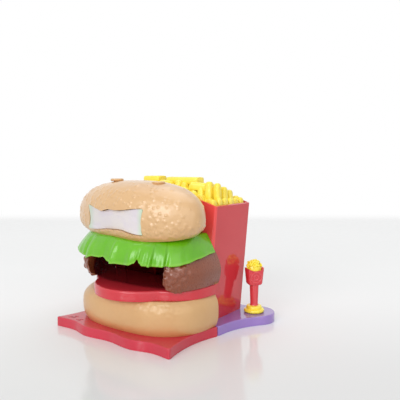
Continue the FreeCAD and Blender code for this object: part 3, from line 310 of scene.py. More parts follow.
def outward(points, wrap=False):
    """Unit normals of a grid: the cross product of its two directions."""
    if wrap:
        padded = np.concatenate([points[:, -1:], points, points[:, :1]], axis=1)
        across = (padded[:, 2:] - padded[:, :-2]) / 2.0
    else:
        across = np.gradient(points, axis=1)
    normal = np.cross(across, np.gradient(points, axis=0))
    reach = np.linalg.norm(normal, axis=-1, keepdims=True)
    return normal / np.maximum(reach, TINY)


def stack(*columns):
    """Points whose coordinates are given as arrays that broadcast together."""
    return np.stack(np.broadcast_arrays(*columns), axis=-1)


def circle(count):
    """Bearings spaced evenly round a circle."""
    return np.linspace(0.0, 2 * np.pi, count, endpoint=False)


def squared(angle, power):
    """Reach of a squared circle at a bearing: (|cos|^p + |sin|^p)^(-1/p)."""
    return (np.abs(np.cos(angle)) ** power + np.abs(np.sin(angle)) ** power) ** (-1.0 / power)


def bow(turn, half, depth, face, power=None):
    """Half a squared oval: turn runs from the right end (0) to the left end (1), and the reach of a squared
    circle is scaled by half a width across and by a depth to the front of the face."""
    power = power or sizes().square
    across, along = np.cos(np.pi * turn), np.sin(np.pi * turn)
    reach = squared(np.pi * turn, power)
    return half * reach * across, face - (depth + face) * reach * along


# Meshes

def quads(rows, columns, wrap=False, start=0):
    """Faces of a grid of rows and columns; a wrapped grid also joins its last column to its first."""
    index = start + np.arange(rows * columns).reshape(rows, columns)
    if wrap:
        index = np.hstack([index, index[:, :1]])
    loop = [index[:-1, :-1], index[:-1, 1:], index[1:, 1:], index[1:, :-1]]
    return np.stack(loop, axis=-1).reshape(-1, 4)


def grid(points, wrap=False, caps=(False, False)):
    """A grid of points as vertices and faces; its first or last row is filled if asked."""
    rows, columns = points.shape[:2]
    faces = quads(rows, columns, wrap).tolist()
    if caps[0]:
        faces.append(list(range(columns))[::-1])
    if caps[1]:
        faces.append(list(range((rows - 1) * columns, rows * columns)))
    return points.reshape(-1, 3), faces


def closed(points):
    """A tube of rings whose first and last rows are filled."""
    return grid(points, wrap=True, caps=(True, True))


def build(name, parts, merge=True, sharp=35.0):
    """One smooth mesh object from (vertices, faces) parts; edges sharper than an angle stay sharp."""
    vertices, faces = [], []
    start = 0
    for points, part_faces in parts:
        vertices.append(points)
        faces += [[start + corner for corner in face] for face in part_faces]
        start += len(points)
    mesh = bpy.data.meshes.new(name)
    mesh.from_pydata(np.concatenate(vertices).tolist(), [], faces)
    if merge:
        work = bmesh.new()
        work.from_mesh(mesh)
        bmesh.ops.remove_doubles(work, verts=work.verts, dist=WELD)
        bmesh.ops.dissolve_degenerate(work, edges=work.edges, dist=SLIVER)
        bmesh.ops.recalc_face_normals(work, faces=work.faces)
        work.to_mesh(mesh)
        work.free()
    mesh.polygons.foreach_set("use_smooth", np.ones(len(mesh.polygons), dtype=bool))
    mesh.set_sharp_from_angle(angle=math.radians(sharp))
    item = bpy.data.objects.new(name, mesh)
    bpy.context.scene.collection.objects.link(item)
    return item


def settle(item, body, slot, finish, *nodes):
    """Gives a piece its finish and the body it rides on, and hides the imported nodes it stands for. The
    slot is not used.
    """
    item.data.materials.clear()
    item.data.materials.append(finish)
    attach(item, body)
    if nodes:
        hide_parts(*nodes)
    return item


def noted(item, name, values):
    """Keeps one number for each vertex under a name, for the finish to mix its tones by."""
    data = np.asarray(values, dtype=np.float32)
    item.data.attributes.new(name, "FLOAT", "POINT").data.foreach_set("value", data)


def dress(finish, *nodes):
    """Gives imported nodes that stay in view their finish."""
    for name in nodes:
        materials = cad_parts[name].data.materials
        materials.clear()
        materials.append(finish)


# Finishes

def add(tree, kind, links=(), **settings):
    """A node with its settings, and with links given as (input, socket)."""
    made = tree.nodes.new(f"ShaderNode{kind}")
    for name, value in settings.items():
        setattr(made, name, value)
    for entry, source in links:
        if isinstance(source, bpy.types.NodeSocket):
            tree.links.new(source, made.inputs[entry])
        else:
            made.inputs[entry].default_value = source
    return made


def mixed(tree, factor, first, second):
    """A colour between two colours or sockets."""
    both = [source if isinstance(source, bpy.types.NodeSocket) else (*source, 1.0)
            for source in (first, second)]
    return add(tree, "Mix", [(0, factor), (6, both[0]), (7, both[1])], data_type="RGBA").outputs[2]


def ranged(tree, source, start, end, low=0.0, high=1.0):
    """A number carried smoothly from one range to another."""
    return add(tree, "MapRange", [(0, source), (1, start), (2, end), (3, low), (4, high)],
               interpolation_type="SMOOTHSTEP").outputs[0]


def reckon(tree, operation, *values):
    """One step of arithmetic on numbers or sockets."""
    return add(tree, "Math", enumerate(values), operation=operation).outputs[0]


def axes_of(tree):
    """The coordinates of a piece, one by one."""
    return add(tree, "SeparateXYZ", [(0, add(tree, "TexCoord").outputs["Object"])]).outputs


def retint(tree, factor, tint):
    """Carries the base colour towards a tint by a factor."""
    entry = tree.nodes["Principled BSDF"].inputs["Base Color"]
    tree.links.new(mixed(tree, factor, entry.links[0].from_socket, tint), entry)


def plastic(name, base, deep, patch=25.0, gloss=(0.2, 0.32), grain=900.0, relief=0.08, coat=0.25, fades=(),
            metallic=0.0, sheen=0.08):
    """Moulded plastic: two tones in soft patches, gloss that varies with a fine grain, and a low relief.
    Each fade is (source, start, end, colour, amount): it tints the piece along an axis or an attribute."""
    finish = bpy.data.materials.new(name)
    finish.use_nodes = True
    tree = finish.node_tree
    shader = tree.nodes["Principled BSDF"]
    place = add(tree, "TexCoord").outputs["Object"]
    cloud = add(tree, "TexNoise", [("Vector", place), ("Scale", patch), ("Detail", 3.0)]).outputs["Fac"]
    tone = mixed(tree, ranged(tree, cloud, *NOISE_SPAN), base, deep)
    axes = add(tree, "SeparateXYZ", [(0, place)])
    for source, start, end, tint, amount in fades:
        if source in "XYZ":
            value = axes.outputs[source]
        else:
            value = add(tree, "Attribute", attribute_name=source).outputs["Fac"]
        tone = mixed(tree, ranged(tree, value, start, end, 0.0, amount), tone, tint)
    tree.links.new(tone, shader.inputs["Base Color"])
    fine = add(tree, "TexNoise", [("Vector", place), ("Scale", grain), ("Detail", 4.0)]).outputs["Fac"]
    tree.links.new(ranged(tree, fine, *NOISE_SPAN, *gloss), shader.inputs["Roughness"])
    bump = add(tree, "Bump", [("Height", fine), ("Strength", relief), ("Distance", 0.3 * MM)])
    tree.links.new(bump.outputs["Normal"], shader.inputs["Normal"])
    shader.inputs["Coat Weight"].default_value = coat
    shader.inputs["Coat Roughness"].default_value = sheen
    shader.inputs["Metallic"].default_value = metallic
    return finish


# Stage

def aimed(item, target):
    """Turns a lamp towards a point."""
    item.rotation_mode = "QUATERNION"
    item.rotation_quaternion = (Vector(target) - item.location).to_track_quat("-Z", "Y")


def lamp(name, place, target, width, watts):
    """A soft lamp of a width and a height."""
    light = bpy.data.lights.new(name, "AREA")
    light.shape = "RECTANGLE"
    light.size, light.size_y = width
    light.energy = watts
    item = bpy.data.objects.new(name, light)
    bpy.context.scene.collection.objects.link(item)
    item.location = place
    aimed(item, target)


# What the lamps point at, and the name, place, width and height of each lamp, in metres
LAMP_TARGET = (0.0, 0.0, 0.07)
LAMPS = (
    ("key", (0.28, -2.26, 1.02), (1.5, 1.2)),
    ("top", (0.0, 0.3, 2.4), (2.4, 2.4)),
    ("side", (1.9, -1.2, 1.0), (2.4, 2.0)),
)
# Reach of the floor behind the camera and to either side, the stretch ahead of the camera over which its
# painted near shade ends, and the share of its reach from which it fades into a painted white glow, and how
# far
FLOOR_BEHIND = -2.0
FLOOR_ASIDE = 4.0
NEAR_SHADE = (0.3, 0.62)
FAR_FADE = 0.86
FAR_GLOW = 0.9


class STAND_OT_stage(bpy.types.Operator):
    """Sets the camera, the floor, the lamps and the white surroundings"""

    bl_idname = "stand.stage"
    bl_label = "Stage"

    def execute(self, context):
        scene = context.scene
        stage = scene.stand_stage
        scene.view_settings.view_transform = "Standard"
        view = bpy.data.cameras.new("photo_camera")
        view.lens = stage.lens
        view.sensor_width = 36.0
        camera = bpy.data.objects.new("photo_camera", view)
        scene.collection.objects.link(camera)
        camera.location = stage.place
        camera.rotation_euler = (math.pi / 2 - stage.pitch, 0.0, stage.bearing)
        scene.camera = camera
        self.floor(stage)
        self.surroundings(scene, stage)
        for name, place, width in LAMPS:
            lamp(f"{name}_lamp", place, LAMP_TARGET, width, getattr(stage, name))
        return {"FINISHED"}

    def floor(self, stage):
        """A level sheet that ends a set distance in front of the camera, square to the way it looks."""
        away = np.array([-math.sin(stage.bearing), math.cos(stage.bearing), 0.0])
        right = np.array([math.cos(stage.bearing), math.sin(stage.bearing), 0.0])
        eye = np.array([*stage.place[:2], 0.0])
        reach = np.array([FLOOR_BEHIND, stage.floor_reach])[:, None, None] * away
        spread = np.array([-FLOOR_ASIDE, FLOOR_ASIDE])[None, :, None] * right
        item = build("studio_floor", [grid(eye + reach + spread)], merge=False)
        finish = plastic("studio_floor", tuple(stage.floor), tuple(0.985 * level for level in stage.floor),
                         patch=2.0, gloss=(0.1, 0.14), grain=60.0, relief=0.0, coat=0.0)
        self.floor_fade(finish.node_tree, stage, away, eye @ away)
        item.data.materials.append(finish)

    def floor_fade(self, tree, stage, away, start):
        """Painted shade that darkens the floor towards the camera, and a painted white glow that fades it
        into the white surroundings towards the far edge.
        """
        shader, output = tree.nodes["Principled BSDF"], tree.nodes["Material Output"]
        spot = add(tree, "TexCoord").outputs["Object"]
        along = add(tree, "VectorMath", [(0, spot), (1, away)], operation="DOT_PRODUCT").outputs["Value"]
        # Painted shade: the floor darkens towards the camera
        near = ranged(tree, along, *(start + place for place in NEAR_SHADE), 1.0, 0.0)
        retint(tree, near, stage.floor_near_shade)
        # Painted glow: the floor glows white towards its far edge
        glow = add(tree, "Emission", [("Color", (1.0, 1.0, 1.0, 1.0))]).outputs[0]
        reach = stage.floor_reach
        far = ranged(tree, along, start + FAR_FADE * reach, start + reach, 0.0, FAR_GLOW)
        faded = add(tree, "MixShader", [(0, far), (1, shader.outputs[0]), (2, glow)]).outputs[0]
        tree.links.new(faded, output.inputs["Surface"])

    def surroundings(self, scene, stage):
        """White to the camera and in gloss, and an even weaker light on the pieces."""
        world = bpy.data.worlds.new("studio")
        scene.world = world
        world.use_nodes = True
        tree = world.node_tree
        rays = add(tree, "LightPath")
        seen = rays.outputs["Is Camera Ray"]
        for name in ("Is Glossy Ray", "Is Transmission Ray"):
            seen = reckon(tree, "MAXIMUM", seen, rays.outputs[name])
        strength = add(tree, "MapRange", [(0, seen), (3, stage.world), (4, 1.0)]).outputs[0]
        tree.links.new(strength, tree.nodes["Background"].inputs["Strength"])
        tree.nodes["Background"].inputs["Color"].default_value = (1.0, 1.0, 1.0, 1.0)


# Burger

def bun_finish(name, foot, edge, coat):
    """Tan plastic that turns to a warmer toast near the foot of a bun."""
    hue = colours()
    return plastic(name, hue.bun, hue.bun_mid, patch=28.0, gloss=(0.32, 0.4), grain=700.0, relief=0.08,
                   coat=coat, fades=[("Z", foot + edge, foot, hue.bun_toast, 0.85)], sheen=0.28)


# Painted shade of the room between the patty's arms: its lap over the walls, and the least softness of its
# edge
ROOM_LAP = 0.6 * MM
ROOM_EDGE = 0.02


def painted_room_shade(finish, soft, amount):
    """Paints shade on what lies in the room between the patty's arms: a dark red where (|x|/a)^p +
    (|y|/b)^p is below 1, with a and b the room's half width and depth, and a soft stretch inside that line."""
    form, tree = sizes(), finish.node_tree
    axes = axes_of(tree)
    half = form.patty_half - form.patty_wall + ROOM_LAP
    depth = form.patty_depth - form.patty_wall + ROOM_LAP
    parts = []
    for axis, size in (("X", half), ("Y", depth)):
        share = reckon(tree, "ABSOLUTE", reckon(tree, "DIVIDE", axes[axis], size))
        parts.append(reckon(tree, "POWER", share, form.patty_square))
    edge = (1 - soft / depth) ** form.patty_square - ROOM_EDGE
    factor = ranged(tree, reckon(tree, "ADD", *parts), 1.0, edge, 0.0, amount)
    retint(tree, factor, colours().carton_painted_shade)


def through(knots, count):
    """A smooth curve through knots: each stretch is a cubic whose end slopes run along its neighbours."""
    knots = np.asarray(knots, dtype=float)
    padded = np.vstack([2 * knots[0] - knots[1], knots, 2 * knots[-1] - knots[-2]])
    place = np.linspace(0, len(knots) - 1, count)
    index = np.minimum(place.astype(int), len(knots) - 2)
    part = (place - index)[:, None]
    before, start, end, after = (padded[index + shift] for shift in range(4))
    return 0.5 * (2 * start + (end - before) * part + (2 * before - 5 * start + 4 * end - after) * part ** 2
                  + (3 * start - before - 3 * end + after) * part ** 3)


def eased(place, knots, values):
    """Values carried from knot to knot by smooth steps."""
    knots, values = np.asarray(knots), np.asarray(values)
    index = np.clip(np.searchsorted(knots, place, side="right") - 1, 0, len(knots) - 2)
    part = np.clip((place - knots[index]) / (knots[index + 1] - knots[index]), 0.0, 1.0)
    return values[index] + (values[index + 1] - values[index]) * part * part * (3.0 - 2.0 * part)


# How far the rings inside a plate's rim have shrunk towards its hub
HUB_SHARES = (0.012, 0.05, 0.14, 0.28, 0.45, 0.62, 0.8, 0.98)


def slab(outline, profile, hub=None):
    """A closed plate: its outline (columns, 2) is drawn in along its normals by each inset of a profile of
    (inset, level) rows. The first and last ring are filled, shrunk towards a hub if one is given."""
    along = np.roll(outline, -1, axis=0) - np.roll(outline, 1, axis=0)
    along /= np.maximum(np.linalg.norm(along, axis=1, keepdims=True), TINY)
    normal = np.stack([along[:, 1], -along[:, 0]], axis=1)
    inset, level = np.asarray(profile, dtype=float).T[:, :, None]
    ring = outline[None] - inset[..., None] * normal[None]
    points = stack(ring[..., 0], ring[..., 1], level)
    if hub is not None:
        share = np.array(HUB_SHARES)[:, None, None]
        first, last = (row + share * (np.array([*hub, row[0, 2]]) - row) for row in points[[0, -1]])
        points = np.concatenate([first[::-1], points, last])
    return closed(points)


def rounded_rim(low, high, lower, upper, count=7):
    """Rows of (inset, level) up a plate's wall, with a quarter round at its foot and at its top."""
    angle = np.linspace(0.0, np.pi / 2, count)
    foot = np.stack([lower * (1 - np.sin(angle)), low + lower * (1 - np.cos(angle))], axis=1)
    top = np.stack([upper * (1 - np.cos(angle)), high - upper * (1 - np.sin(angle))], axis=1)
    return np.vstack([foot, top])


def turned(profile, centre, segments=64):
    """A profile of (radius, level) rows turned about an upright axis; rows at radius 0 close the ends."""
    radius, level = np.asarray(profile, dtype=float).T[:, :, None]
    angle = circle(segments)[None, :]
    x, y = centre[0] + radius * np.cos(angle), centre[1] + radius * np.sin(angle)
    return grid(stack(x, y, level), wrap=True)


def even_ring(points, count):
    """A closed outline spaced evenly along its length."""
    ring = np.vstack([points, points[:1]])
    run = np.concatenate([[0.0], np.cumsum(np.linalg.norm(np.diff(ring, axis=0), axis=1))])
    place = np.linspace(0.0, run[-1], count, endpoint=False)
    return np.stack([np.interp(place, run, ring[:, axis]) for axis in (0, 1)], axis=1)


# Where the line under the upper bun rises: over this share of its depth, and between these places across
CROWN_RISE = 0.7
CROWN_SIDE = (35 * MM, -12 * MM)


def crown_tilt(across, depth):
    """Rise of the line where the upper bun meets the leaf: it hangs a little in front, and rises by smooth
    steps with the share of the depth and towards the left."""
    form = sizes()
    rise = form.crown_lean * step(0.0, CROWN_RISE, depth) - form.crown_dip
    return rise + form.crown_side * step(*CROWN_SIDE, across)


# Lower bun: stretch of its bow over which the left side rounds more, rounding of its lower edge beside the
# upper one's, and height of its crumbs beside the peel's
HEEL_LEFT = (0.55, 0.85)
HEEL_UNDER = 0.75
HEEL_CRUMBS = 2.6


class STAND_OT_lower_bun(bpy.types.Operator):
    """Makes the lower bun, a squared half oval whose edges draw in above and below"""

    bl_idname = "stand.lower_bun"
    bl_label = "Lower bun"

    def execute(self, context):
        form = sizes()
        low, high = corners("lower_bun")
        rise = (0.5 - 0.5 * np.cos(np.pi * np.linspace(0.0, 1.0, 61)))[:, None]
        turn = np.linspace(0.0, 1.0, 301)[None, :]
        upper = 1.0 + form.heel_left * step(*HEEL_LEFT, turn)
        draw = form.heel_round * np.abs(2 * rise - 1) ** 3 * np.where(rise < 0.5, HEEL_UNDER, upper)
        x, y = bow(turn, high[0] - draw, -low[1] - draw, high[1], form.heel_square)
        points = stack(x, y, low[2] + (high[2] - low[2]) * rise)
        skin = noise(points, 9 * MM, 1) + 0.6 * noise(points, 3.5 * MM, 2)
        calm = step(0.0, 0.04, turn) * step(0.0, 0.04, 1 - turn)
        calm = calm * step(0.0, 0.1, rise) * step(0.0, 0.1, 1 - rise)
        crumbs = step(0.1, 0.25, turn) * step(0.5, 0.35, turn) * step(0.5, 0.75, rise)
        skin = skin + HEEL_CRUMBS * noise(points, 2.4 * MM, 8) * crumbs
        points += outward(points) * (form.peel * skin * calm)[..., None]
        item = build("lower_bun_skin", [closed(points)])
        settle(item, "burger_half", "bun_tan", bun_finish("lower_bun", low[2], 9 * MM, 0.18), "lower_bun")
        return {"FINISHED"}


# Tomato slice: where along its bow the left corner starts to tuck in, is in, starts to come out and is out
SLICE_TUCK = (0.52, 0.64, 0.8, 0.92)


class STAND_OT_tomato(bpy.types.Operator):
    """Makes the tomato slice: a squared half oval and a round porch, joined softly, with rounded edges"""

    bl_idname = "stand.tomato"
    bl_label = "Tomato slice"

    def execute(self, context):
        form = sizes()
        low, high = corners("tomato_slice")
        face = high[1]
        middle = np.array([0.0, -0.5 * form.band_depth])
        bearing = np.linspace(-np.pi, np.pi, 721)[:-1]
        turn = np.linspace(0.0, 1.0, 2000)
        band = np.stack(bow(turn, high[0], form.band_depth, face), axis=1)
        tuck = form.slice_tuck * step(*SLICE_TUCK[:2], turn) * step(*SLICE_TUCK[:1:-1], turn)
        band = [0.0, face] + (band - [0.0, face]) * (1 - tuck)[:, None]
        back = np.stack([np.linspace(band[-1, 0], high[0], 400), np.full(400, face)], axis=1)
        band = np.vstack([band, back]) - middle
        spot = np.arctan2(band[:, 1], band[:, 0])
        order = np.argsort(spot)
        reach = np.interp(bearing, spot[order], np.hypot(*band.T)[order], period=2 * np.pi)
        offset = low[1] + form.porch_radius - middle[1]
        away = offset * np.sin(bearing)
        porch = away + np.sqrt(np.maximum(form.porch_radius ** 2 - (offset * np.cos(bearing)) ** 2, 0.0))
        porch = np.where(np.sin(bearing) > 0.2, 0.0, porch)
        soft = form.slice_blend
        joined = soft * np.logaddexp(reach / soft, porch / soft)
        outline = middle + np.stack([joined * np.cos(bearing), joined * np.sin(bearing)], axis=1)
        outline[:, 1] = np.minimum(outline[:, 1], face)
        outline = even_ring(outline, 520) + [form.slice_shift, 0.0]
        rim = rounded_rim(low[2], high[2], 0.8 * MM, form.slice_round)
        item = build("tomato_slice_skin", [slab(outline, rim)], sharp=50.0)
        hue = colours()
        finish = plastic("tomato_red", hue.tomato, hue.tomato_deep, patch=20.0, gloss=(0.2, 0.26),
                         relief=0.0)
        # Painted shade: the slice turns dark red inside the patty's room
        painted_room_shade(finish, 9.0 * MM, 0.85)
        settle(item, "burger_half", "tomato_red", finish, "tomato_slice")
        return {"FINISHED"}


# Patty: points up its outside and down its inside, steps along an arm and round its end, level at which it
# is widest, share of a tuck on its inside, and level below which an arm slants
PATTY_OUTSIDE = 44
PATTY_INSIDE = 12
ARM_STEPS = 70
END_STEPS = 26
PATTY_BELLY = 0.36
INSIDE_TUCK = 0.6
SLANT_LEVEL = 0.4


class STAND_OT_patty(bpy.types.Operator):
    """Makes the patty: two arms with rounded, pebbly ends and a band over the mouth between them"""

    bl_idname = "stand.patty"
    bl_label = "Patty"

    def section(self, turn, foot, squeeze, slant=0.0, tuck=0.0):
        """A section of the ring at each turn, as a loop: up the bulging outside from a foot (0 to 1), over
        the top, down the upright inside and back under. The squeeze draws the loop in towards its middle,
        the slant carries its foot along the bow, and the tuck draws its foot in, less on the inside."""
        form = sizes()
        low, high = corners("patty_ring")
        half, depth, tall = form.patty_half, form.patty_depth, high[2] - low[2]
        rise = foot + (1 - foot) * np.linspace(0.0, 1.0, PATTY_OUTSIDE)
        under = 0.22 * np.abs(1 - rise / PATTY_BELLY) ** 2.2
        over = np.abs((rise - PATTY_BELLY) / (1 - PATTY_BELLY)) ** 1.4
        bulge = form.patty_draw * np.where(rise < PATTY_BELLY, under, over)
        draw = np.concatenate([bulge, np.full(PATTY_INSIDE, form.patty_wall)])[None, :]
        share = np.concatenate([np.ones(PATTY_OUTSIDE), np.full(PATTY_INSIDE, INSIDE_TUCK)])[None, :]
        level = np.concatenate([rise, np.linspace(1.0, foot, PATTY_INSIDE)])[None, :]
        power = form.patty_square
        turn = turn + slant * np.maximum(SLANT_LEVEL - level, 0.0)
        draw = draw + tuck * share * np.maximum(1 - level / PATTY_BELLY, 0.0) ** 1.6
        x, y = bow(turn, half - draw, depth - draw, high[1], power)
        core = 0.5 * form.patty_wall
        core_x, core_y = bow(turn, half - core, depth - core, high[1], power)
        x, y = core_x + (x - core_x) * squeeze, core_y + (y - core_y) * squeeze
        level = level + (0.45 - level) * 0.3 * (1 - squeeze)
        return stack(x, y, low[2] + tall * level)

    def hinge_room(self, points, faces, ear):
        """Moves points near the hinge outwards, to a round room about its axis between two levels."""
        axis = np.array(hinge_axis())[:2]
        away = points[:, :2] - axis
        reach = np.linalg.norm(away, axis=1)
        room = forms().knuckle_radius + 0.5 * MM
        inside = (reach < room) & (points[:, 2] > ear[0] - MM) & (points[:, 2] < ear[1] + MM)
        moved = axis + away * (room / np.maximum(reach, TINY))[:, None]
        points[:, :2] = np.where(inside[:, None], moved, points[:, :2])
        return points, faces

    def execute(self, context):
        form = sizes()
        cap = np.sin(np.linspace(0.0, 1.0, END_STEPS) * np.pi / 2)
        end = np.sqrt(np.maximum(1 - cap ** 2.6, 0.004))
        squeeze = np.concatenate([np.ones(ARM_STEPS - 1), end])[:, None]
        parts = []
        for side, arm in ((0, form.mouth_turn), (1, form.left_turn)):
            straight = arm - form.arm_round
            run = np.linspace(0.0, straight, ARM_STEPS)[:-1]
            run = np.concatenate([run, straight + form.arm_round * cap])[:, None]
            late = side * (run / arm) ** 3
            turn = side + (1 - 2 * side) * run
            points = self.section(turn, 0.0, squeeze, -form.arm_slant * late, form.arm_tuck * late)
            pebble = 1.5 * np.maximum(noise(points, 3.4 * MM, 5), 0.0) + 0.6 * noise(points, 2.0 * MM, 6)
            pebble = pebble * step(arm - 2.6 * form.arm_round, arm - 1.2 * form.arm_round, run)
            pebble = pebble + 0.12 * noise(points, 8 * MM, 7) * step(0.0, 0.03, run)
            normal = outward(points, wrap=True)
            normal *= np.sign((normal * (points - points.mean(axis=1, keepdims=True))).sum())
            points = points + normal * (form.pebble * pebble)[..., None]
            parts.append(closed(points))
        start, end = form.mouth_turn - form.arm_round, 1 - form.left_turn + form.arm_round
        over = np.linspace(start, end, 90)[:, None]
        parts.append(closed(self.section(over, form.mouth_rise, 1.0)))
        ear = np.array([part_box("upper_hinge_pin")[0].z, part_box("upper_hinge_pin")[1].z])
        parts = [self.hinge_room(*part, ear) for part in parts]
        middle = ear[0] + form.ear_height
        parts += knuckle(middle + 0.4 * MM, middle + 0.4 * MM + form.ear_height, -1)
        item = build("patty_skin", parts, sharp=60.0)
        hue = colours()
        finish = plastic("patty_brown", hue.patty, hue.patty_dark, patch=60.0, gloss=(0.26, 0.32),
                         grain=520.0, relief=0.02, coat=0.4)
        # Painted shade: the patty's inner walls turn dark red
        painted_room_shade(finish, 0.0, 1.0)
        settle(item, "burger_half", "patty_brown", finish, "patty_ring")
        return {"FINISHED"}


# Lettuce leaf: steps along its bow and from its flange to its lip
LEAF_TURNS = 601
LEAF_FALLS = 46


class STAND_OT_lettuce(bpy.types.Operator):
    """Makes the lettuce leaf: a thin pleated sheet with two notches and a rounded lip"""

    bl_idname = "stand.lettuce"
    bl_label = "Lettuce leaf"

    def upper_side(self, turn, fall):
        """Upper side of the leaf. Turn runs from the right end to the left end, and fall from the flange's
        inner edge over the shoulder to the lip. The plan is the burger's squared oval, drawn in by an inset
        that shrinks down the skirt; slanting pleats push it out, and notches lift its lip."""
        form = sizes()
        high = corners("lettuce_leaf")[1]
        skirt = np.clip((fall - form.leaf_break) / (1 - form.leaf_break), 0.0, 1.0)
        flange = np.clip(fall / form.leaf_break, 0.0, 1.0)
        place, push, drop = np.array(LEAF_PLEATS).T
        slant = np.minimum(turn + form.leaf_slant * (1 - skirt), 1.0)
        out = 1.5 * eased(slant, place, push) * MM * skirt ** 1.1
        bend = skirt * np.pi / 2
        ends = np.cos(np.pi * turn) ** 2
        shoulder = form.leaf_shoulder * (1 + 0.5 * ends)
        inset = shoulder * (1 - np.sin(bend) + ends * (np.sin(bend) - skirt))
        inset = inset + form.leaf_flange * (1 - flange)
        curve = 0.65 * (1 - np.cos(bend)) + 0.35 * skirt ** 1.5
        curve = curve + 0.8 * ends * (skirt - curve)
        fallen = (form.leaf_drop - form.leaf_lift * ends) * curve
        fallen = fallen + eased(turn, place, drop) * MM * skirt ** 3
        x, y = bow(turn, form.leaf_half - inset + out, form.leaf_depth - inset + out, high[1])
        lean = crown_tilt(x, (y + form.leaf_depth) / form.leaf_depth) * (1 - skirt)
        points = stack(x, y, high[2] - fallen + lean)
        dents = (noise(points, 6 * MM, 9) * skirt * form.leaf_dent)[..., None]
        return points + outward(points) * dents

    def execute(self, context):
        form = sizes()
        turn = np.linspace(0.0, 1.0, LEAF_TURNS)[:, None]
        fall = np.linspace(0.0, 1.0, LEAF_FALLS)[None, :]
        upper = self.upper_side(turn, fall)
        normal = outward(upper)
        normal *= np.sign(normal[LEAF_TURNS // 2, 0, 2])
        lower = upper - form.leaf_thick * normal
        lip = 0.5 * (upper[:, -1:] + lower[:, -1:])
        lip = lip + 0.35 * (lip - 0.5 * (upper[:, -2:-1] + lower[:, -2:-1]))
        loop = np.concatenate([upper, lip, lower[:, ::-1]], axis=1)
        item = build("lettuce_skin", [closed(loop)], merge=False, sharp=70.0)
        edge = np.concatenate([fall[0], [1.0], fall[0, ::-1]])[None]
        noted(item, "fall", np.broadcast_to(edge, loop.shape[:2]).ravel())
        hue = colours()
        finish = plastic("leaf_green", hue.leaf, hue.leaf_deep, patch=45.0, gloss=(0.24, 0.26), grain=400.0,
                         relief=0.0, coat=0.25, fades=[("fall", 0.93, 1.0, hue.leaf_lip, 0.45)])
        settle(item, "burger_half", "leaf_green", finish, "lettuce_leaf")
        return {"FINISHED"}


# Pleats of the leaf from its right end (0) to its left end (1): place, push outwards, extra drop of the lip
LEAF_PLEATS = (
    (0.0, -2.0, -0.5), (0.03, -1.8, -0.6), (0.117, -0.6, 0.9), (0.182, 0.3, 2.7), (0.215, 1.0, 3.2),
    (0.243, 0.9, 3.0), (0.258, -0.7, 2.6), (0.27, 1.2, 2.4), (0.29, 0.0, 2.0), (0.308, -0.9, 1.8),
    (0.321, 1.7, 1.5), (0.332, 0.5, 0.9), (0.345, 1.3, 0.3), (0.356, 0.4, -1.6), (0.367, -1.2, -4.8),
    (0.379, 0.2, -1.6), (0.4, 1.3, 0.0), (0.43, -0.3, 0.3), (0.465, 0.0, 0.0), (0.49, 1.8, 0.0),
    (0.505, 0.2, -1.0), (0.541, -0.7, -4.4), (0.56, 0.3, -3.6), (0.6, 0.6, -3.0), (0.628, 1.6, -1.2),
    (0.643, 1.4, 0.6), (0.66, -2.0, 0.6), (0.69, 0.6, 0.2), (0.73, 1.9, -0.8), (0.78, 3.0, -2.6),
    (0.83, 1.5, -1.6), (0.88, 0.9, -0.6), (0.94, 0.4, 0.2), (1.0, 0.4, 0.0),
)


def sign_outline(inset, count=480):
    """The sign's wavy outline in its upright plane, as (x, z): smooth edges that bow inwards between four
    corners, two of them drawn to a point, all drawn in by an inset."""
    low, high = corners("sign_panel")
    middle, spread = (low + high) / 2, (high - low) / 2
    edges = [through(edge, count // 4)[:-1] for edge in SIGN_EDGES]
    ring = np.concatenate(edges) * spread[[0, 2]] + middle[[0, 2]]
    along = np.roll(ring, -2, axis=0) - np.roll(ring, 2, axis=0)
    along /= np.linalg.norm(along, axis=1, keepdims=True)
    return ring - inset * np.stack([along[:, 1], -along[:, 0]], axis=1)


# The sign's foot, right side, top and left side, as parts of its half width and half height
SIGN_EDGES = (
    ((-0.955, -0.88), (-0.8, -0.885), (-0.649, -0.874), (-0.42, -0.8), (-0.207, -0.748),
     (0.234, -0.74), (0.45, -0.86), (0.681, -0.965), (0.9, -0.99), (0.965, -0.985)),
    ((0.965, -0.985), (0.95, -0.6), (0.946, -0.016), (0.967, 0.567), (0.985, 0.8), (0.95, 0.9)),
    ((0.95, 0.9), (0.8, 0.88), (0.619, 0.827), (0.4, 0.74), (0.199, 0.693), (0.03, 0.69),
     (-0.131, 0.732), (-0.28, 0.65), (-0.428, 0.567), (-0.7, 0.75), (-0.985, 0.985)),
    ((-0.985, 0.985), (-0.95, 0.55), (-0.921, 0.094), (-0.93, -0.45), (-0.985, -0.75), (-0.955, -0.88)),
)


# Upper bun: rows under and above its widest level, columns round it, part by which its foot is smaller,
# level at which the tilt of its foot has died out, and radii of its seeds in mm
UNDER_ROWS = 25
DOME_ROWS = 118
DOME_COLUMNS = 540
FOOT_DRAW = 0.12
TILT_TOP = 0.32
SEED_RADII = (1.3, 2.7)


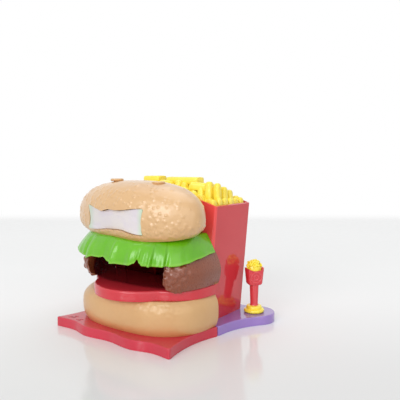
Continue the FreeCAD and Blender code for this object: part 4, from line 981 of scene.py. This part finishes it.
class STAND_OT_upper_bun(bpy.types.Operator):
    """Makes the upper bun: a squared dome with a flat back, seeds, a recess for the sign and two studs"""

    bl_idname = "stand.upper_bun"
    bl_label = "Upper bun"

    def dome(self):
        """Rows from the bun's foot to its top and columns round it. Below the widest level the oval shrinks
        by a power of the distance from it; above, the profile is a squared quarter. Each oval stops at the
        flat back."""
        form = sizes()
        low, high = corners("upper_bun")
        face, centre = high[1], low[1] + form.crown_deep
        wide, power = form.crown_widest, form.crown_square
        under = np.linspace(1.0, 0.0, UNDER_ROWS + 1)[:-1]
        angle = np.linspace(0.0, np.pi / 2, DOME_ROWS)
        reach = squared(angle, power)
        scale = np.concatenate([1 - FOOT_DRAW * under ** 2.5, reach * np.cos(angle)])[:, None]
        rise = np.concatenate([wide * (1 - under), wide + (1 - wide) * reach * np.sin(angle)])[:, None]
        stop = np.arcsin(np.minimum(1.0, (face - centre) / np.maximum(form.crown_deep * scale, TINY)))
        bearing = stop - np.linspace(0.0, 1.0, DOME_COLUMNS)[None, :] * (np.pi + 2 * stop)
        x = high[0] * scale * np.cos(bearing)
        y = centre + form.crown_deep * scale * np.sin(bearing)
        lean = crown_tilt(x, (y - low[1]) / (face - low[1])) * step(TILT_TOP, 0.0, rise)
        return stack(x, y, low[2] + (high[2] - low[2]) * rise + lean), bearing, rise

    def seeds(self, points, bearing, rise):
        """Height of the bun's skin: round caps of r(1 - d2/r2)^1.4 at random places, thinner on the right,
        over a low uneven peel."""
        form = sizes()
        draw = np.random.default_rng(21)
        flat = points.reshape(-1, 3)
        share = 0.45 + 0.55 * step(45 * MM, -10 * MM, points[..., 0])
        share = share * step(0.99, 0.8, rise) * step(0.0, 0.06, rise)
        share = share * (1 + 4.0 * step(0.35, 0.12, rise))
        share = share * (0.35 + 0.65 * step(0.2, -0.6, np.sin(bearing)))
        share = share * np.linalg.norm(np.gradient(points, axis=1), axis=-1)
        share = (share * np.linalg.norm(np.gradient(points, axis=0), axis=-1)).ravel()
        chosen = draw.choice(len(flat), form.seed_count, p=share / share.sum())
        height = np.zeros(len(flat))
        for spot, radius in zip(flat[chosen], draw.uniform(*SEED_RADII, form.seed_count) * MM):
            gap = 1 - ((flat - spot) ** 2).sum(axis=1) / radius ** 2
            height = np.maximum(height, np.maximum(gap, 0.0) ** 1.4 * radius)
        peel = form.peel * (noise(points, 7 * MM, 3) + 0.5 * noise(points, 3 * MM, 4))
        around = np.linspace(0, 1, points.shape[1])[None, :]
        calm = step(0.0, 0.06, rise) * step(0.0, 0.15, np.sin(np.pi * around))
        return (form.seed_height * height.reshape(bearing.shape) + peel) * calm

    def execute(self, context):
        form = sizes()
        points, bearing, rise = self.dome()
        normal = outward(points)
        normal *= -np.sign(normal[UNDER_ROWS, DOME_COLUMNS // 2, 1])
        points[:-1] += (normal * self.seeds(points, bearing, rise)[..., None])[:-1]
        low, high = corners("upper_bun")
        inner = points[:1].copy()
        centre = low[1] + form.crown_deep
        inner[..., :2] = (inner[..., :2] - [0, centre]) * form.crown_rim + [0, centre]
        inner[..., 1] = np.minimum(inner[..., 1], high[1] - form.crown_skin)
        lifted = inner + [0, 0, form.crown_skin + 0.6 * MM]
        shell = grid(np.concatenate([lifted, inner, points]), wrap=True, caps=(True, False))
        item = build("upper_bun_skin", [shell], sharp=45.0)
        self.recess(item)
        settle(item, "burger_half", "bun_tan", bun_finish("upper_bun", low[2], 8 * MM, 1.0), "upper_bun")
        self.floor()
        for name in ("left_stud", "right_stud"):
            self.stud(name)
        return {"FINISHED"}

    def floor(self):
        """The plate under the bun: half a squared oval with softened edges, drawn in behind the leaf."""
        form = sizes()
        low, high = corners("bun_floor")
        half, depth = high[0] - form.floor_draw, -low[1] - form.floor_draw
        outline = np.stack(bow(np.linspace(1.0, 0.0, 240), half, depth, high[1]), axis=1)
        rim = rounded_rim(low[2], high[2], 0.4 * MM, 0.4 * MM)
        item = build("bun_floor_plate", [slab(outline, rim)])
        settle(item, "burger_half", "bun_tan", bun_finish("bun_floor", low[2], MM, 0.2), "bun_floor")

    def recess(self, item):
        """Cuts the sign's outline into the bun, down to just under the sign."""
        panel = corners("sign_panel")
        outline = sign_outline(-0.5 * MM)
        depth = np.array([panel[1][1] + 0.2 * MM, panel[0][1] - 30 * MM])[:, None]
        tool = build("sign_tool", [closed(stack(outline[None, :, 0], depth, outline[None, :, 1]))])
        carve = item.modifiers.new("recess", "BOOLEAN")
        carve.operation = "DIFFERENCE"
        carve.solver = "EXACT"
        carve.object = tool
        ready = bpy.context.evaluated_depsgraph_get()
        mesh = bpy.data.meshes.new_from_object(item.evaluated_get(ready))
        item.modifiers.clear()
        item.data = mesh
        bpy.data.objects.remove(tool)
        mesh.set_sharp_from_angle(angle=math.radians(45.0))

    def stud(self, name):
        """A stud with a soft mushroom head, sunk into the bun by its neck."""
        form = sizes()
        sink = form.stud_sink * (1.0 if name == "right_stud" else -0.5)
        low, high = corners(name) + np.array([form.stud_aside, -form.stud_ahead, -sink])
        middle, radius = (low + high) / 2, form.stud_grow * (high[0] - low[0]) / 2
        angle = np.linspace(-np.pi / 2, np.pi / 2, 15)
        thick = form.stud_head / 2
        edge = thick * np.stack([np.cos(angle), np.sin(angle)], axis=1)
        head = edge + [radius - thick, high[2] - thick]
        foot = [(0.0, low[2]), (0.5 * radius, low[2]), (0.5 * radius, head[0, 1])]
        item = build(f"{name}_head", [turned(np.vstack([foot, head, [(0.0, high[2])]]), middle)])
        finish = bun_finish(f"{name}_tan", high[2] - 3 * MM, 2 * MM, 0.3)
        settle(item, "burger_half", "bun_tan", finish, name)


class STAND_OT_sign(bpy.types.Operator):
    """Makes the bare sign: a thin wavy panel, off white with mint corners"""

    bl_idname = "stand.sign"
    bl_label = "Sign"

    def execute(self, context):
        low, high = corners("sign_panel")
        outline = sign_outline(0.0)
        inset = np.array([0.25, 0.06, 0.0, 0.0])[:, None, None] * MM
        depth = np.array([low[1], low[1] + 0.1 * MM, low[1] + 0.25 * MM, high[1]])[:, None]
        middle = outline.mean(axis=0)
        reach = np.linalg.norm(outline - middle, axis=1)[None, :, None]
        ring = middle + (outline[None] - middle) * (1 - inset / reach)
        item = build("sign_face", [closed(stack(ring[..., 0], depth, ring[..., 1]))])
        hue = colours()
        right, left, half = high[0], low[0], (high[0] - low[0]) / 2
        mint = [("X", right - 0.24 * half, right, hue.sign_mint, 0.75),
                ("X", left + 0.3 * half, left, hue.sign_mint, 0.7)]
        finish = plastic("sign_white", hue.sign, hue.sign_pale, patch=70.0, gloss=(0.3, 0.4), grain=300.0,
                         relief=0.04, coat=0.15, fades=mint)
        settle(item, "burger_half", "sign_white", finish, "sign_panel")
        return {"FINISHED"}


# Bases, carton, fries and lamp

def arc(centre, radius, start, end, count):
    """Points of a level arc between two bearings in degrees."""
    angle = np.radians(np.linspace(start, end, count))
    return np.stack([centre[0] + radius * np.cos(angle), centre[1] + radius * np.sin(angle)], axis=1)


def hinge_axis():
    """Where the upright hinge stands, from its upper pin."""
    low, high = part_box("upper_hinge_pin")
    return (low + high) / 2


def knuckle(low, high, side):
    """A hinge barrel with its bore between two levels, and the web that joins it to its half."""
    form = forms()
    axis = hinge_axis()
    outer, bore, soft = form.knuckle_radius, form.pin_radius, 0.4 * MM
    ring = [(bore, low), (outer - soft, low), (outer, low + soft), (outer, high - soft),
            (outer - soft, high), (bore, high), (bore, low)]
    near, far = (0.0, outer) if side > 0 else (-outer, -form.seam)
    reach = axis.x + form.knuckle_reach
    web = np.array([(axis.x + bore, near), (reach, near), (reach, far), (axis.x + bore, far)])
    return [turned(ring, axis, 40), slab(web, [(0.0, low), (0.0, high)])]


def shelled(outline, high, skin, edge, hub):
    """A plate that is hollow underneath: its corners are softened by a moving mean, and its rings run from
    the inner ceiling down the inner wall, and up the outer wall over a rounded edge."""
    for spread in (1, 2, 3):
        outline = (np.roll(outline, spread, axis=0) + outline + np.roll(outline, -spread, axis=0)) / 3
    rim = rounded_rim(0.0, high, 0.3 * MM, edge)
    return slab(outline, np.vstack([[(skin, high - skin), (skin, 0.0)], rim]), hub)


# Crests of the napkin's front edge from its right to its left corner, as parts of its half width and wave
NAPKIN_CRESTS = ((1.0, 0.0), (0.7, -0.5), (0.39, 1.0), (0.0, 0.1), (-0.39, 1.0), (-0.7, -0.5), (-1.0, 0.0))
# Half width of a fold mark, and how deep it sits in the napkin
CREASE_HALF = 1.25 * MM
CREASE_SINK = 0.2 * MM
# Lines of the fold marks, in mm
NAPKIN_CREASES = (
    ((-67.5, -67.7), (-64.3, -64.0), (-58.9, -65.8)),
    ((-58.9, -65.8), (-61.7, -61.0), (-58.7, -58.3)),
    ((-54.5, -67.0), (-51.0, -66.4), (-48.0, -68.6)),
    ((-48.0, -68.6), (-49.0, -65.0), (-46.5, -62.8)),
)
# Half the gap between two knuckles of the lower hinge, and points round a base
KNUCKLE_GAP = 0.2 * MM
BASE_POINTS = 700


class STAND_OT_bases(bpy.types.Operator):
    """Makes the wavy napkin and the lobed rear base, both with softened upper edges"""

    bl_idname = "stand.bases"
    bl_label = "Bases"

    def napkin_outline(self):
        """Round the napkin: hollow sides, and a front edge through wave crests between pointed corners."""
        form = forms()
        half, depth = form.napkin_half, form.napkin_depth
        along = np.linspace(0.0, 1.0, 80)
        draw = form.napkin_waist * 4 * along * (1 - along)
        ahead = -form.seam + (form.seam - depth) * along
        right = np.stack([half - draw + form.seam_reach * (1 - along) ** 3, ahead], axis=1)
        left = np.stack([draw - half - form.napkin_point * along ** 4, ahead], axis=1)[::-1]
        knots = np.array(NAPKIN_CRESTS) * [half, -form.napkin_wave] - [0.0, depth]
        knots[-1, 0] -= form.napkin_point
        front = through(knots, 200)
        return np.concatenate([right[:-1], front[:-1], left])[::-1]

    def rear_outline(self):
        """Round the rear base: a hollow right side, the lamp's lobe, a hollow and the back's corner."""
        form = forms()
        half, depth = form.napkin_half, form.rear_depth
        lobe, radius = np.array(form.lobe), form.lobe_radius
        shift = half + form.seam_reach - lobe[0]
        sweep = (shift ** 2 + lobe[1] ** 2 - radius ** 2) / (2 * (radius - shift))
        side = np.array([half + form.seam_reach + sweep, 0.0])
        toward = math.degrees(math.atan2(side[1] - lobe[1], side[0] - lobe[0]))
        drop = depth + form.lobe_blend - lobe[1]
        run = math.sqrt((radius + form.lobe_blend) ** 2 - drop ** 2)
        away = math.degrees(math.atan2(drop, -run))
        corner = form.rear_corner
        return np.concatenate([
            arc(side, sweep, 180.0, toward + 180.0, 70)[:-1],
            arc(lobe, radius, toward, away, 120)[:-1],
            arc(lobe + [-run, drop], form.lobe_blend, away - 180.0, -90.0, 30),
            arc((corner - half, depth - corner), corner, 90.0, 180.0, 24),
            np.stack([np.full(20, -half), np.linspace(depth - corner, 0.0, 21)[1:]], axis=1),
        ])

    def creases(self, high):
        """Fold marks near the napkin's left corner: low ridges along smooth lines with thin ends."""
        parts = []
        for line in NAPKIN_CREASES:
            spine = through(np.array(line) * MM, 40)
            along = np.linspace(-1.0, 1.0, len(spine))[:, None]
            side = np.gradient(spine, axis=0)[:, ::-1] * [-1.0, 1.0]
            side /= np.linalg.norm(side, axis=1, keepdims=True)
            across = np.linspace(0.0, np.pi, 10)[None, :]
            half = CREASE_HALF * (1 - along ** 4)
            flat = spine[:, None] + side[:, None] * (half * np.cos(across))[..., None]
            rise = high - CREASE_SINK + 0.5 * half * np.sin(across)
            parts.append(closed(stack(flat[..., 0], flat[..., 1], rise)))
        return parts

    def execute(self, context):
        hue, form = colours(), forms()
        high = corners("napkin_base")[1][2]
        split = 0.5 * high
        outline = even_ring(self.napkin_outline(), BASE_POINTS)
        parts = [shelled(outline, high, form.skin, form.base_edge, (0.0, -0.5 * form.napkin_depth)),
                 *knuckle(split + KNUCKLE_GAP, high, -1)]
        item = build("napkin_skin", parts, sharp=50.0)
        red = plastic("napkin_red", hue.napkin, hue.napkin_deep, patch=18.0, gloss=(0.12, 0.17),
                      grain=260.0, relief=0.0, coat=0.12)
        settle(item, "burger_half", "napkin_red", red, "napkin_base")
        # Painted shade: the fold marks get a darker red
        crease_shade = plastic("napkin_mark", hue.napkin_mark, hue.napkin_deep, patch=90.0, gloss=(0.3, 0.4),
                       coat=0.0)
        settle(build("napkin_creases", self.creases(high)), "burger_half", "napkin_red", crease_shade)
        outline = even_ring(self.rear_outline(), BASE_POINTS)
        hub = (0.8 * form.napkin_half, 0.72 * form.rear_depth)
        parts = [shelled(outline, high, form.skin, form.base_edge, hub),
                 *knuckle(0.0, split - KNUCKLE_GAP, 1)]
        item = build("rear_base_skin", parts, sharp=50.0)
        purple = plastic("base_purple", hue.base, hue.base_deep, patch=18.0, gloss=(0.05, 0.1), grain=260.0,
                         relief=0.0, coat=0.6)
        settle(item, "carton_half", "base_purple", purple, "rear_base")
        return {"FINISHED"}


# Sides of a stick's section, and bearings of the rings round its ends in degrees
BAR_SIDES = 16
BAR_ENDS = (8.0, 28.0, 52.0, 90.0)


def bars(feet, tips, wide, deep, soft, power=3.4, taper=1.0):
    """Sticks between feet and tips: each section is a squared oval |a|^p + |b|^p = 1 that shrinks by a
    taper towards the tip, and both ends shrink along a quarter round. Returns vertices and faces of all
    sticks together."""
    feet, tips = np.asarray(feet, dtype=float), np.asarray(tips, dtype=float)
    count = len(feet)
    along = tips - feet
    reach = np.linalg.norm(along, axis=1)[:, None]
    along = along / reach
    aside = np.cross(along, np.where(np.abs(along[:, 1:2]) < 0.9, [[0.0, 1.0, 0.0]], [[1.0, 0.0, 0.0]]))
    aside /= np.linalg.norm(aside, axis=1, keepdims=True)
    ahead = np.cross(along, aside)
    angle = circle(BAR_SIDES)
    radius = squared(angle, power)
    end = np.radians(BAR_ENDS)
    shrink = np.concatenate([np.sin(end), np.sin(end[::-1])])
    soft = np.broadcast_to(soft, (count,))[:, None]
    place = np.concatenate([soft * (1 - np.cos(end)), reach - soft * (1 - np.cos(end[::-1]))], axis=1)
    thin = np.linspace(1.0, taper, len(shrink))
    size = (1 - (1 - shrink) * soft / np.minimum(wide, deep)[:, None]) * thin
    ring = (aside[:, None] * (radius * np.cos(angle))[None, :, None] * wide[:, None, None]
            + ahead[:, None] * (radius * np.sin(angle))[None, :, None] * deep[:, None, None])
    spine = feet[:, None, None] + along[:, None, None] * place[..., None, None]
    points = spine + size[..., None, None] * ring[:, None]
    rows, columns = points.shape[1:3]
    one = quads(rows, columns, wrap=True)
    starts = np.arange(count) * rows * columns
    faces = (one[None] + starts[:, None, None]).reshape(-1, 4).tolist()
    for start in starts.tolist():
        faces.append(list(range(start, start + columns))[::-1])
        faces.append(list(range(start + (rows - 1) * columns, start + rows * columns)))
    return points.reshape(-1, 3), faces


# Steps of the sine that scatters the fries, by column, row and seed, and its multiple
SCATTER_STEPS = (127.1, 311.7, 74.7)
SCATTER_REACH = 437.585453


def scatter(column, row, seed):
    """A repeatable number from 0 to 1 for each fry: the fraction of a large multiple of a sine."""
    by_column, by_row, by_seed = SCATTER_STEPS
    value = np.sin(by_column * column + by_row * row + by_seed * seed) * SCATTER_REACH
    return value - np.floor(value)


# Columns of fries, and their rows from front to back: how far they stop below the tallest, and how much
# lower still at both ends, in mm
FRY_COLUMNS = 13
FRY_ROWS = ((5.0, 13.0), (0.0, 3.0), (1.0, 6.0), (3.0, 8.5), (5.5, 11.0))
# Lying fries: both ends as share of the half width, share of the depth and rise above the carton's top in
# mm, then their height and width in mm
LYING_FRIES = (
    (-0.64, 0.5, 11.6, -0.31, 0.5, 11.8, 9.0, 15.0),
    (-0.16, 0.5, 10.7, 0.45, 0.5, 10.7, 9.0, 14.0),
    (-0.26, 0.42, 7.8, 0.04, 0.2, 7.0, 8.4, 8.8),
    (0.42, 0.26, 6.4, 0.74, 0.42, 4.4, 8.4, 8.8),
)
# Short fries inside the side walls: their number on each side, share of the half width, and their rim
FRINGE_COUNT = 6
FRINGE_AT = 0.955
FRINGE_RIM = -12.5 * MM
# How far the walls of the bed between the fries reach down
BED_FOOT = -8 * MM


class STAND_OT_fries(bpy.types.Operator):
    """Makes the fries: rounded moulded sticks of many heights, with four that lie across the top"""

    bl_idname = "stand.fries"
    bl_label = "Fries"

    def place(self, share, depth, rise):
        """A point of the bunch from its share of the half width, its share of the depth and its rise."""
        form = forms()
        ahead = form.fry_near + (form.fry_far - form.fry_near) * depth
        return stack(form.fry_span * share, ahead, form.fry_seat + rise)

    def standing(self, shift, lower):
        """Feet, tips and half sides of upright sticks: rows and columns over the carton's mouth, shifted by
        a part of a cell and lowered, whose tops fall away to both ends by a square."""
        form = forms()
        count, less = len(FRY_ROWS), math.ceil(shift)
        row, column = (axis.ravel() for axis in np.indices((count - less, FRY_COLUMNS - less)))
        drop, fall = np.array(FRY_ROWS)[row].T * MM
        seed = 10 * shift
        across = form.fry_gather * ((2 * (column + shift) + 1) / FRY_COLUMNS - 1)
        depth = (row + shift + 0.5) / count
        rise = form.fry_rise - drop - fall * across ** 2 - lower
        rise = rise + form.fry_uneven * (2 * scatter(column, row, 1 + seed) - 1)
        aside = 2 * scatter(column, row, 2 + seed) - 1 - 1.4 * across
        lean = stack(aside, scatter(column, row, 3 + seed) - 0.5, 0.0)
        foot = self.place(across, depth, -form.fry_arch * across ** 2 - form.fry_half)
        thick = stack(scatter(column, row, 4 + seed), scatter(column, row, 5 + seed))
        tip = self.place(across, depth, rise) + lean * form.fry_lean
        return foot, tip, form.fry_half * (0.8 + 0.22 * thick)

    def fringe(self):
        """Feet, tips and half sides of short sticks inside both side walls, just above the rim."""
        form = forms()
        row, side = (axis.ravel() for axis in np.indices((FRINGE_COUNT, 2)))
        across, depth = FRINGE_AT * (1 - 2 * side), (row + 0.5) / FRINGE_COUNT
        rise = FRINGE_RIM + (3 + 7 * scatter(row, side, 21)) * MM
        lean = stack(-0.6 * across, scatter(row, side, 22) - 0.5, 0.0)
        thick = stack(np.full(len(row), 0.66), 0.86 + 0.25 * scatter(row, side, 23))
        foot = self.place(across, depth, np.full(len(row), FRINGE_RIM - 6 * MM))
        return foot, self.place(across, depth, rise) + lean * form.fry_lean, form.fry_half * thick

    def bed(self):
        """An arched bed between the sticks: a section carried along x, from the carton's front up to a
        raised middle and down to its back, that follows the carton's arc."""
        form = forms()
        across = np.linspace(-0.99, 0.99, 40)[:, None]
        depth = np.array([0.01, 0.01, 0.16, 0.84, 0.99, 0.99])[None, :]
        rise = np.array([BED_FOOT, 0.0, form.fry_bed, form.fry_bed, 0.0, BED_FOOT])[None, :]
        rise = np.where(rise > 0, rise * (1 - across ** 6), rise)
        return closed(self.place(across, depth, rise - form.fry_arch * across ** 2))

    def execute(self, context):
        hue, form = colours(), forms()
        groups = (self.standing(0.0, 0.0), self.standing(0.5, form.fry_short), self.fringe())
        foot, tip, thick = (np.vstack(both) for both in zip(*groups))
        sticks = bars(foot, tip, *thick.T, form.fry_soft, power=4.2, taper=0.7)
        tone = np.repeat(scatter(np.arange(len(foot)), 0, 6), len(sticks[0]) // len(foot))
        lying = np.array(LYING_FRIES).T[:, :, None]
        ends = [self.place(lying[first], lying[first + 1], lying[first + 2] * MM)[:, 0] for first in (0, 3)]
        across = bars(*ends, *(lying[6:, :, 0] * MM / 2), form.fry_chamfer, power=6.0)
        bed = self.bed()
        item = build("fries_sticks", [sticks, across, bed], merge=False, sharp=60.0)
        # The bed's tone of 1 gives it painted shade, a deeper yellow between the fries; the sticks' tones
        # vary at random
        noted(item, "tone", np.concatenate([tone, np.full(len(across[0]), 0.3), np.ones(len(bed[0]))]))
        finish = plastic("fries_yellow", hue.fries, hue.fries_pale, patch=60.0, gloss=(0.3, 0.42),
                         grain=500.0, relief=0.05, coat=0.15,
                         fades=[("tone", 0.5, 1.0, hue.fries_deep_and_shade, 0.45)])
        settle(item, "carton_half", "fries_yellow", finish, "fries_bunch")
        return {"FINISHED"}


# Where the painted light and shade of the carton start and end: the back of its front panel, the top of the
# painted shade behind the room, the inner side walls, the inner front and the inner back, which is measured
# from the outside
PANEL_BACK = (4 * MM, 2.4 * MM)
DOOR_TOP = (94 * MM, 92 * MM)
INNER_WALL = (60.6 * MM, 60.2 * MM)
INNER_FRONT = (2.4 * MM, 3.2 * MM)
INNER_BACK = (0.6 * MM, 1.0 * MM)


class STAND_OT_carton(bpy.types.Operator):
    """Finishes the carton: glossy red, with painted light on the front panel and painted shade inside"""

    bl_idname = "stand.carton"
    bl_label = "Carton"

    def execute(self, context):
        hue = colours()
        finish = plastic("carton_red", hue.carton, hue.carton_deep, patch=12.0, gloss=(0.02, 0.04),
                         grain=200.0, relief=0.0, coat=0.0)
        self.painted_light_and_shade(finish.node_tree, hue)
        dress(finish, "fries_carton")
        return {"FINISHED"}

    def painted_light_and_shade(self, tree, hue):
        """Paints light on the front panel, and paints shade on it behind the burger's room and between the
        walls.
        """
        back = corners("fries_carton")[1][1]
        room = sizes().patty_half - sizes().patty_wall
        axes = axes_of(tree)
        aside = reckon(tree, "ABSOLUTE", axes["X"])
        front = ranged(tree, axes["Y"], *PANEL_BACK)
        # Painted light: a brighter red on the front panel
        retint(tree, front, hue.carton_painted_light)
        # Painted shade: dark red on the front panel behind the burger's room, below the door's top
        door = reckon(tree, "MULTIPLY", front, ranged(tree, aside, room, room - MM))
        door = reckon(tree, "MULTIPLY", door, ranged(tree, axes["Z"], *DOOR_TOP))
        retint(tree, door, hue.carton_painted_shade)
        # Painted shade: dark red on the inner walls of the carton
        walls = ranged(tree, aside, *INNER_WALL)
        inside = reckon(tree, "MULTIPLY", walls, ranged(tree, axes["Y"], *INNER_FRONT))
        rear = ranged(tree, axes["Y"], *(back - wall for wall in INNER_BACK))
        retint(tree, reckon(tree, "MULTIPLY", inside, rear), hue.carton_painted_shade)


def lamp_placed(part):
    """Turns points of a lamp piece, given about its own axis, to the lamp's bearing and place."""
    form = forms()
    points, faces = part
    low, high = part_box("lamp_foot")
    turn = form.lamp_turn
    spin = np.array([[math.cos(turn), math.sin(turn), 0], [-math.sin(turn), math.cos(turn), 0], [0, 0, 1]])
    return points @ spin + [(low.x + high.x) / 2, (low.y + high.y) / 2, 0], faces


# Profile of the lamp's foot from its axis below to its axis above, as parts of its radius and height
FOOT_PROFILE = (
    (0.0, 0.0), (0.9, 0.0), (0.985, 0.12), (1.0, 0.26), (0.97, 0.4), (0.9, 0.48), (0.8, 0.5), (0.75, 0.54),
    (0.77, 0.68), (0.75, 0.84), (0.68, 0.96), (0.5, 1.0), (0.0, 1.0),
)
# Rings of the lamp's head from its foot over its rim to its seat: level, and part of the full width
HEAD_PROFILE = (
    (0.0, 0.55), (0.015, 0.8), (0.06, 0.94), (0.13, 1.0), (0.3, 1.0), (0.5, 1.0), (0.7, 1.0), (0.88, 1.0),
    (0.97, 1.0), (1.0, 0.985), (1.0, 0.9), (0.97, 0.86), (0.85, 0.84), (0.72, 0.82),
)
# Power of the head's plan, its depth at the foot as a part of the rim's, level of the rings' middle, and
# the inner ring's radius as a part of the outer one's
HEAD_SQUARE = 5.0
HEAD_TAPER = 0.82
BADGE_LEVEL = 0.47
BADGE_INNER = 0.45
# Turn from one small fry to the next, in radians, which spreads them evenly
GOLDEN_TURN = 2.399963


class STAND_OT_lamp(bpy.types.Operator):
    """Makes the street lamp: a turned foot, a post with a rounded carton head, and a cap of small fries"""

    bl_idname = "stand.lamp"
    bl_label = "Street lamp"

    def foot(self):
        """Two soft steps turned about the lamp's axis."""
        low, high = corners("lamp_foot")
        radius, tall = (high[0] - low[0]) / 2, high[2] - low[2]
        profile = np.array(FOOT_PROFILE) * [radius, tall] + [0.0, low[2]]
        rim = through(profile[1:-1], 48)
        return turned(np.vstack([profile[:1], rim, profile[-1:]]), (low + high) / 2)

    def post(self):
        """A stem that widens upwards and a head of squared ovals: they widen from a rounded foot to a rim
        that dips between its corners, and turn inwards there down to a seat."""
        form = forms()
        foot_top, top = corners("lamp_foot")[1][2], corners("lamp_post")[1][2]
        base = top - form.head_height
        stem = [(0.0, foot_top - MM), (form.stem_low + 0.5 * MM, foot_top),
                (form.stem_low, foot_top + 1.4 * MM), (form.stem_high, base),
                (form.stem_high, base + 2 * MM), (0.0, base + 2 * MM)]
        angle = circle(96)[None, :]
        reach = squared(angle, HEAD_SQUARE)
        rise, fill = np.array(HEAD_PROFILE).T[:, :, None]
        half = (form.head_low + (form.head_high - form.head_low) * rise) * fill
        deep = self.head_depth(rise) * fill
        x, y = half * reach * np.cos(angle), deep * reach * np.sin(angle)
        dip = form.head_dip * (1 - (x / form.head_high) ** 2) * step(0.8, 1.0, rise)
        head = closed(stack(x, y, base + form.head_height * rise - dip))
        return [turned(stem, (0.0, 0.0)), head]

    def head_depth(self, rise):
        """Half depth of the head at a level, which grows in a straight line up to its rim."""
        return forms().head_deep * (HEAD_TAPER + (1 - HEAD_TAPER) * rise)

    def badge(self):
        """A plain ring round a smaller one on the head's face: round beads turned about the face's normal,
        which follow the face where it leans outwards."""
        form = forms()
        angle = circle(48)[None, :]
        bead = form.badge_bead
        soft = np.linspace(0.0, 2 * np.pi, 14)[:, None]
        parts = []
        for radius in (form.badge_radius, BADGE_INNER * form.badge_radius):
            spread = radius + bead * np.cos(soft)
            rise = BADGE_LEVEL + spread * np.sin(angle) / form.head_height
            face = self.head_depth(rise) + 0.7 * bead * np.sin(soft)
            height = corners("lamp_post")[1][2] - form.head_height * (1 - rise)
            parts.append(grid(stack(spread * np.cos(angle), -face, height), wrap=True))
        return parts

    def chips(self):
        """Small sticks that lie across a low dome: even places on an ellipsoid with headings that lean to
        either hand in turn, over the dome itself."""
        form = forms()
        top = corners("lamp_post")[1][2]
        draw = np.random.default_rng(12)
        half = np.array([form.head_high * 0.9, form.head_deep * 0.9, form.cap_rise * 0.72])
        count = form.chip_count
        height = 1 - (np.arange(count) + 0.5) / count * 0.58
        bearing = np.arange(count) * GOLDEN_TURN + draw.uniform(-0.3, 0.3, count)
        level = np.sqrt(1 - height ** 2)
        spot = np.stack([level * np.cos(bearing), level * np.sin(bearing), height], axis=1)
        lean = np.where(np.arange(count) % 2, 0.9, -0.9)
        heading = stack(1.0, draw.uniform(-0.5, 0.5, count), lean)
        heading = heading - (heading * spot).sum(axis=1, keepdims=True) * spot
        heading /= np.linalg.norm(heading, axis=1, keepdims=True)
        reach = form.chip_long * (draw.uniform(0.7, 1.1, count) * height)[:, None]
        middle = spot * half + [0.0, 0.0, top - form.head_dip]
        side = np.full(count, form.chip_half)
        sticks = bars(middle - heading * reach, middle + heading * reach, side, side, 0.6 * form.chip_half)
        angle = np.linspace(0.0, np.pi / 2, 14)
        dome = turned(np.stack([np.cos(angle), np.sin(angle)], axis=1), (0.0, 0.0), 40)
        return [sticks, (0.93 * dome[0] * half + [0.0, 0.0, top - form.head_dip], dome[1])]

    def execute(self, context):
        hue = colours()
        yellow = plastic("lamp_yellow", hue.lamp_foot, hue.fries, patch=60.0, gloss=(0.14, 0.24),
                         grain=500.0, relief=0.02)
        red = plastic("lamp_red", hue.lamp, hue.lamp_deep, patch=40.0, gloss=(0.12, 0.2), grain=400.0,
                      relief=0.02)
        settle(build("lamp_foot_turned", [self.foot()]), "lamp", "lamp_yellow", yellow, "lamp_foot")
        post = build("lamp_post_shell", [lamp_placed(part) for part in self.post()], sharp=50.0)
        settle(post, "lamp", "lamp_red", red, "lamp_post")
        badge = build("lamp_badge", [lamp_placed(part) for part in self.badge()])
        ring = plastic("lamp_badge", hue.lamp_mark, hue.lamp_deep, patch=40.0, gloss=(0.2, 0.3), relief=0.0)
        settle(badge, "lamp", "lamp_red", ring)
        cap = build("lamp_fries_cap", [lamp_placed(part) for part in self.chips()], merge=False, sharp=60.0)
        settle(cap, "lamp", "lamp_yellow", yellow, "lamp_fries")
        return {"FINISHED"}


class STAND_OT_plain_nodes(bpy.types.Operator):
    """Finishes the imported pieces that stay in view"""

    bl_idname = "stand.plain_nodes"
    bl_label = "Packed pieces"

    def execute(self, context):
        hue = colours()
        steel = plastic("steel", hue.steel, hue.steel, metallic=1.0)
        dress(steel, "napkin_screws", "crown_screws", "carton_screws", "lower_hinge_pin", "upper_hinge_pin",
              "push_nut")
        return {"FINISHED"}


# Panel and registration

OPERATORS = (STAND_OT_stage, STAND_OT_lower_bun, STAND_OT_tomato, STAND_OT_patty, STAND_OT_lettuce,
             STAND_OT_upper_bun, STAND_OT_sign, STAND_OT_bases, STAND_OT_carton, STAND_OT_fries,
             STAND_OT_lamp, STAND_OT_plain_nodes)


class STAND_PT_panel(bpy.types.Panel):
    """Lists the steps that dress the stand"""

    bl_idname = "STAND_PT_panel"
    bl_label = "Burger stand"
    bl_space_type = "VIEW_3D"
    bl_region_type = "UI"
    bl_category = "Burger stand"

    def draw(self, context):
        for operator in OPERATORS:
            self.layout.operator(operator.bl_idname)


SETTINGS = (("burger_sizes", BurgerSizes), ("stand_forms", StandForms), ("stand_colours", StandColours),
            ("stand_stage", StageSettings))


def register():
    """Registers the settings, the operators and the panel."""
    for name, group in SETTINGS:
        bpy.utils.register_class(group)
        setattr(bpy.types.Scene, name, PointerProperty(type=group))
    for item in (*OPERATORS, STAND_PT_panel):
        bpy.utils.register_class(item)


def unregister():
    """Takes them away again."""
    for item in (STAND_PT_panel, *reversed(OPERATORS)):
        bpy.utils.unregister_class(item)
    for name, group in reversed(SETTINGS):
        delattr(bpy.types.Scene, name)
        bpy.utils.unregister_class(group)


def main():
    """Dresses the stand step by step."""
    register()
    for operator in OPERATORS:
        space, name = operator.bl_idname.split(".")
        getattr(getattr(bpy.ops, space), name)()


if __name__ == "__main__":
    main()
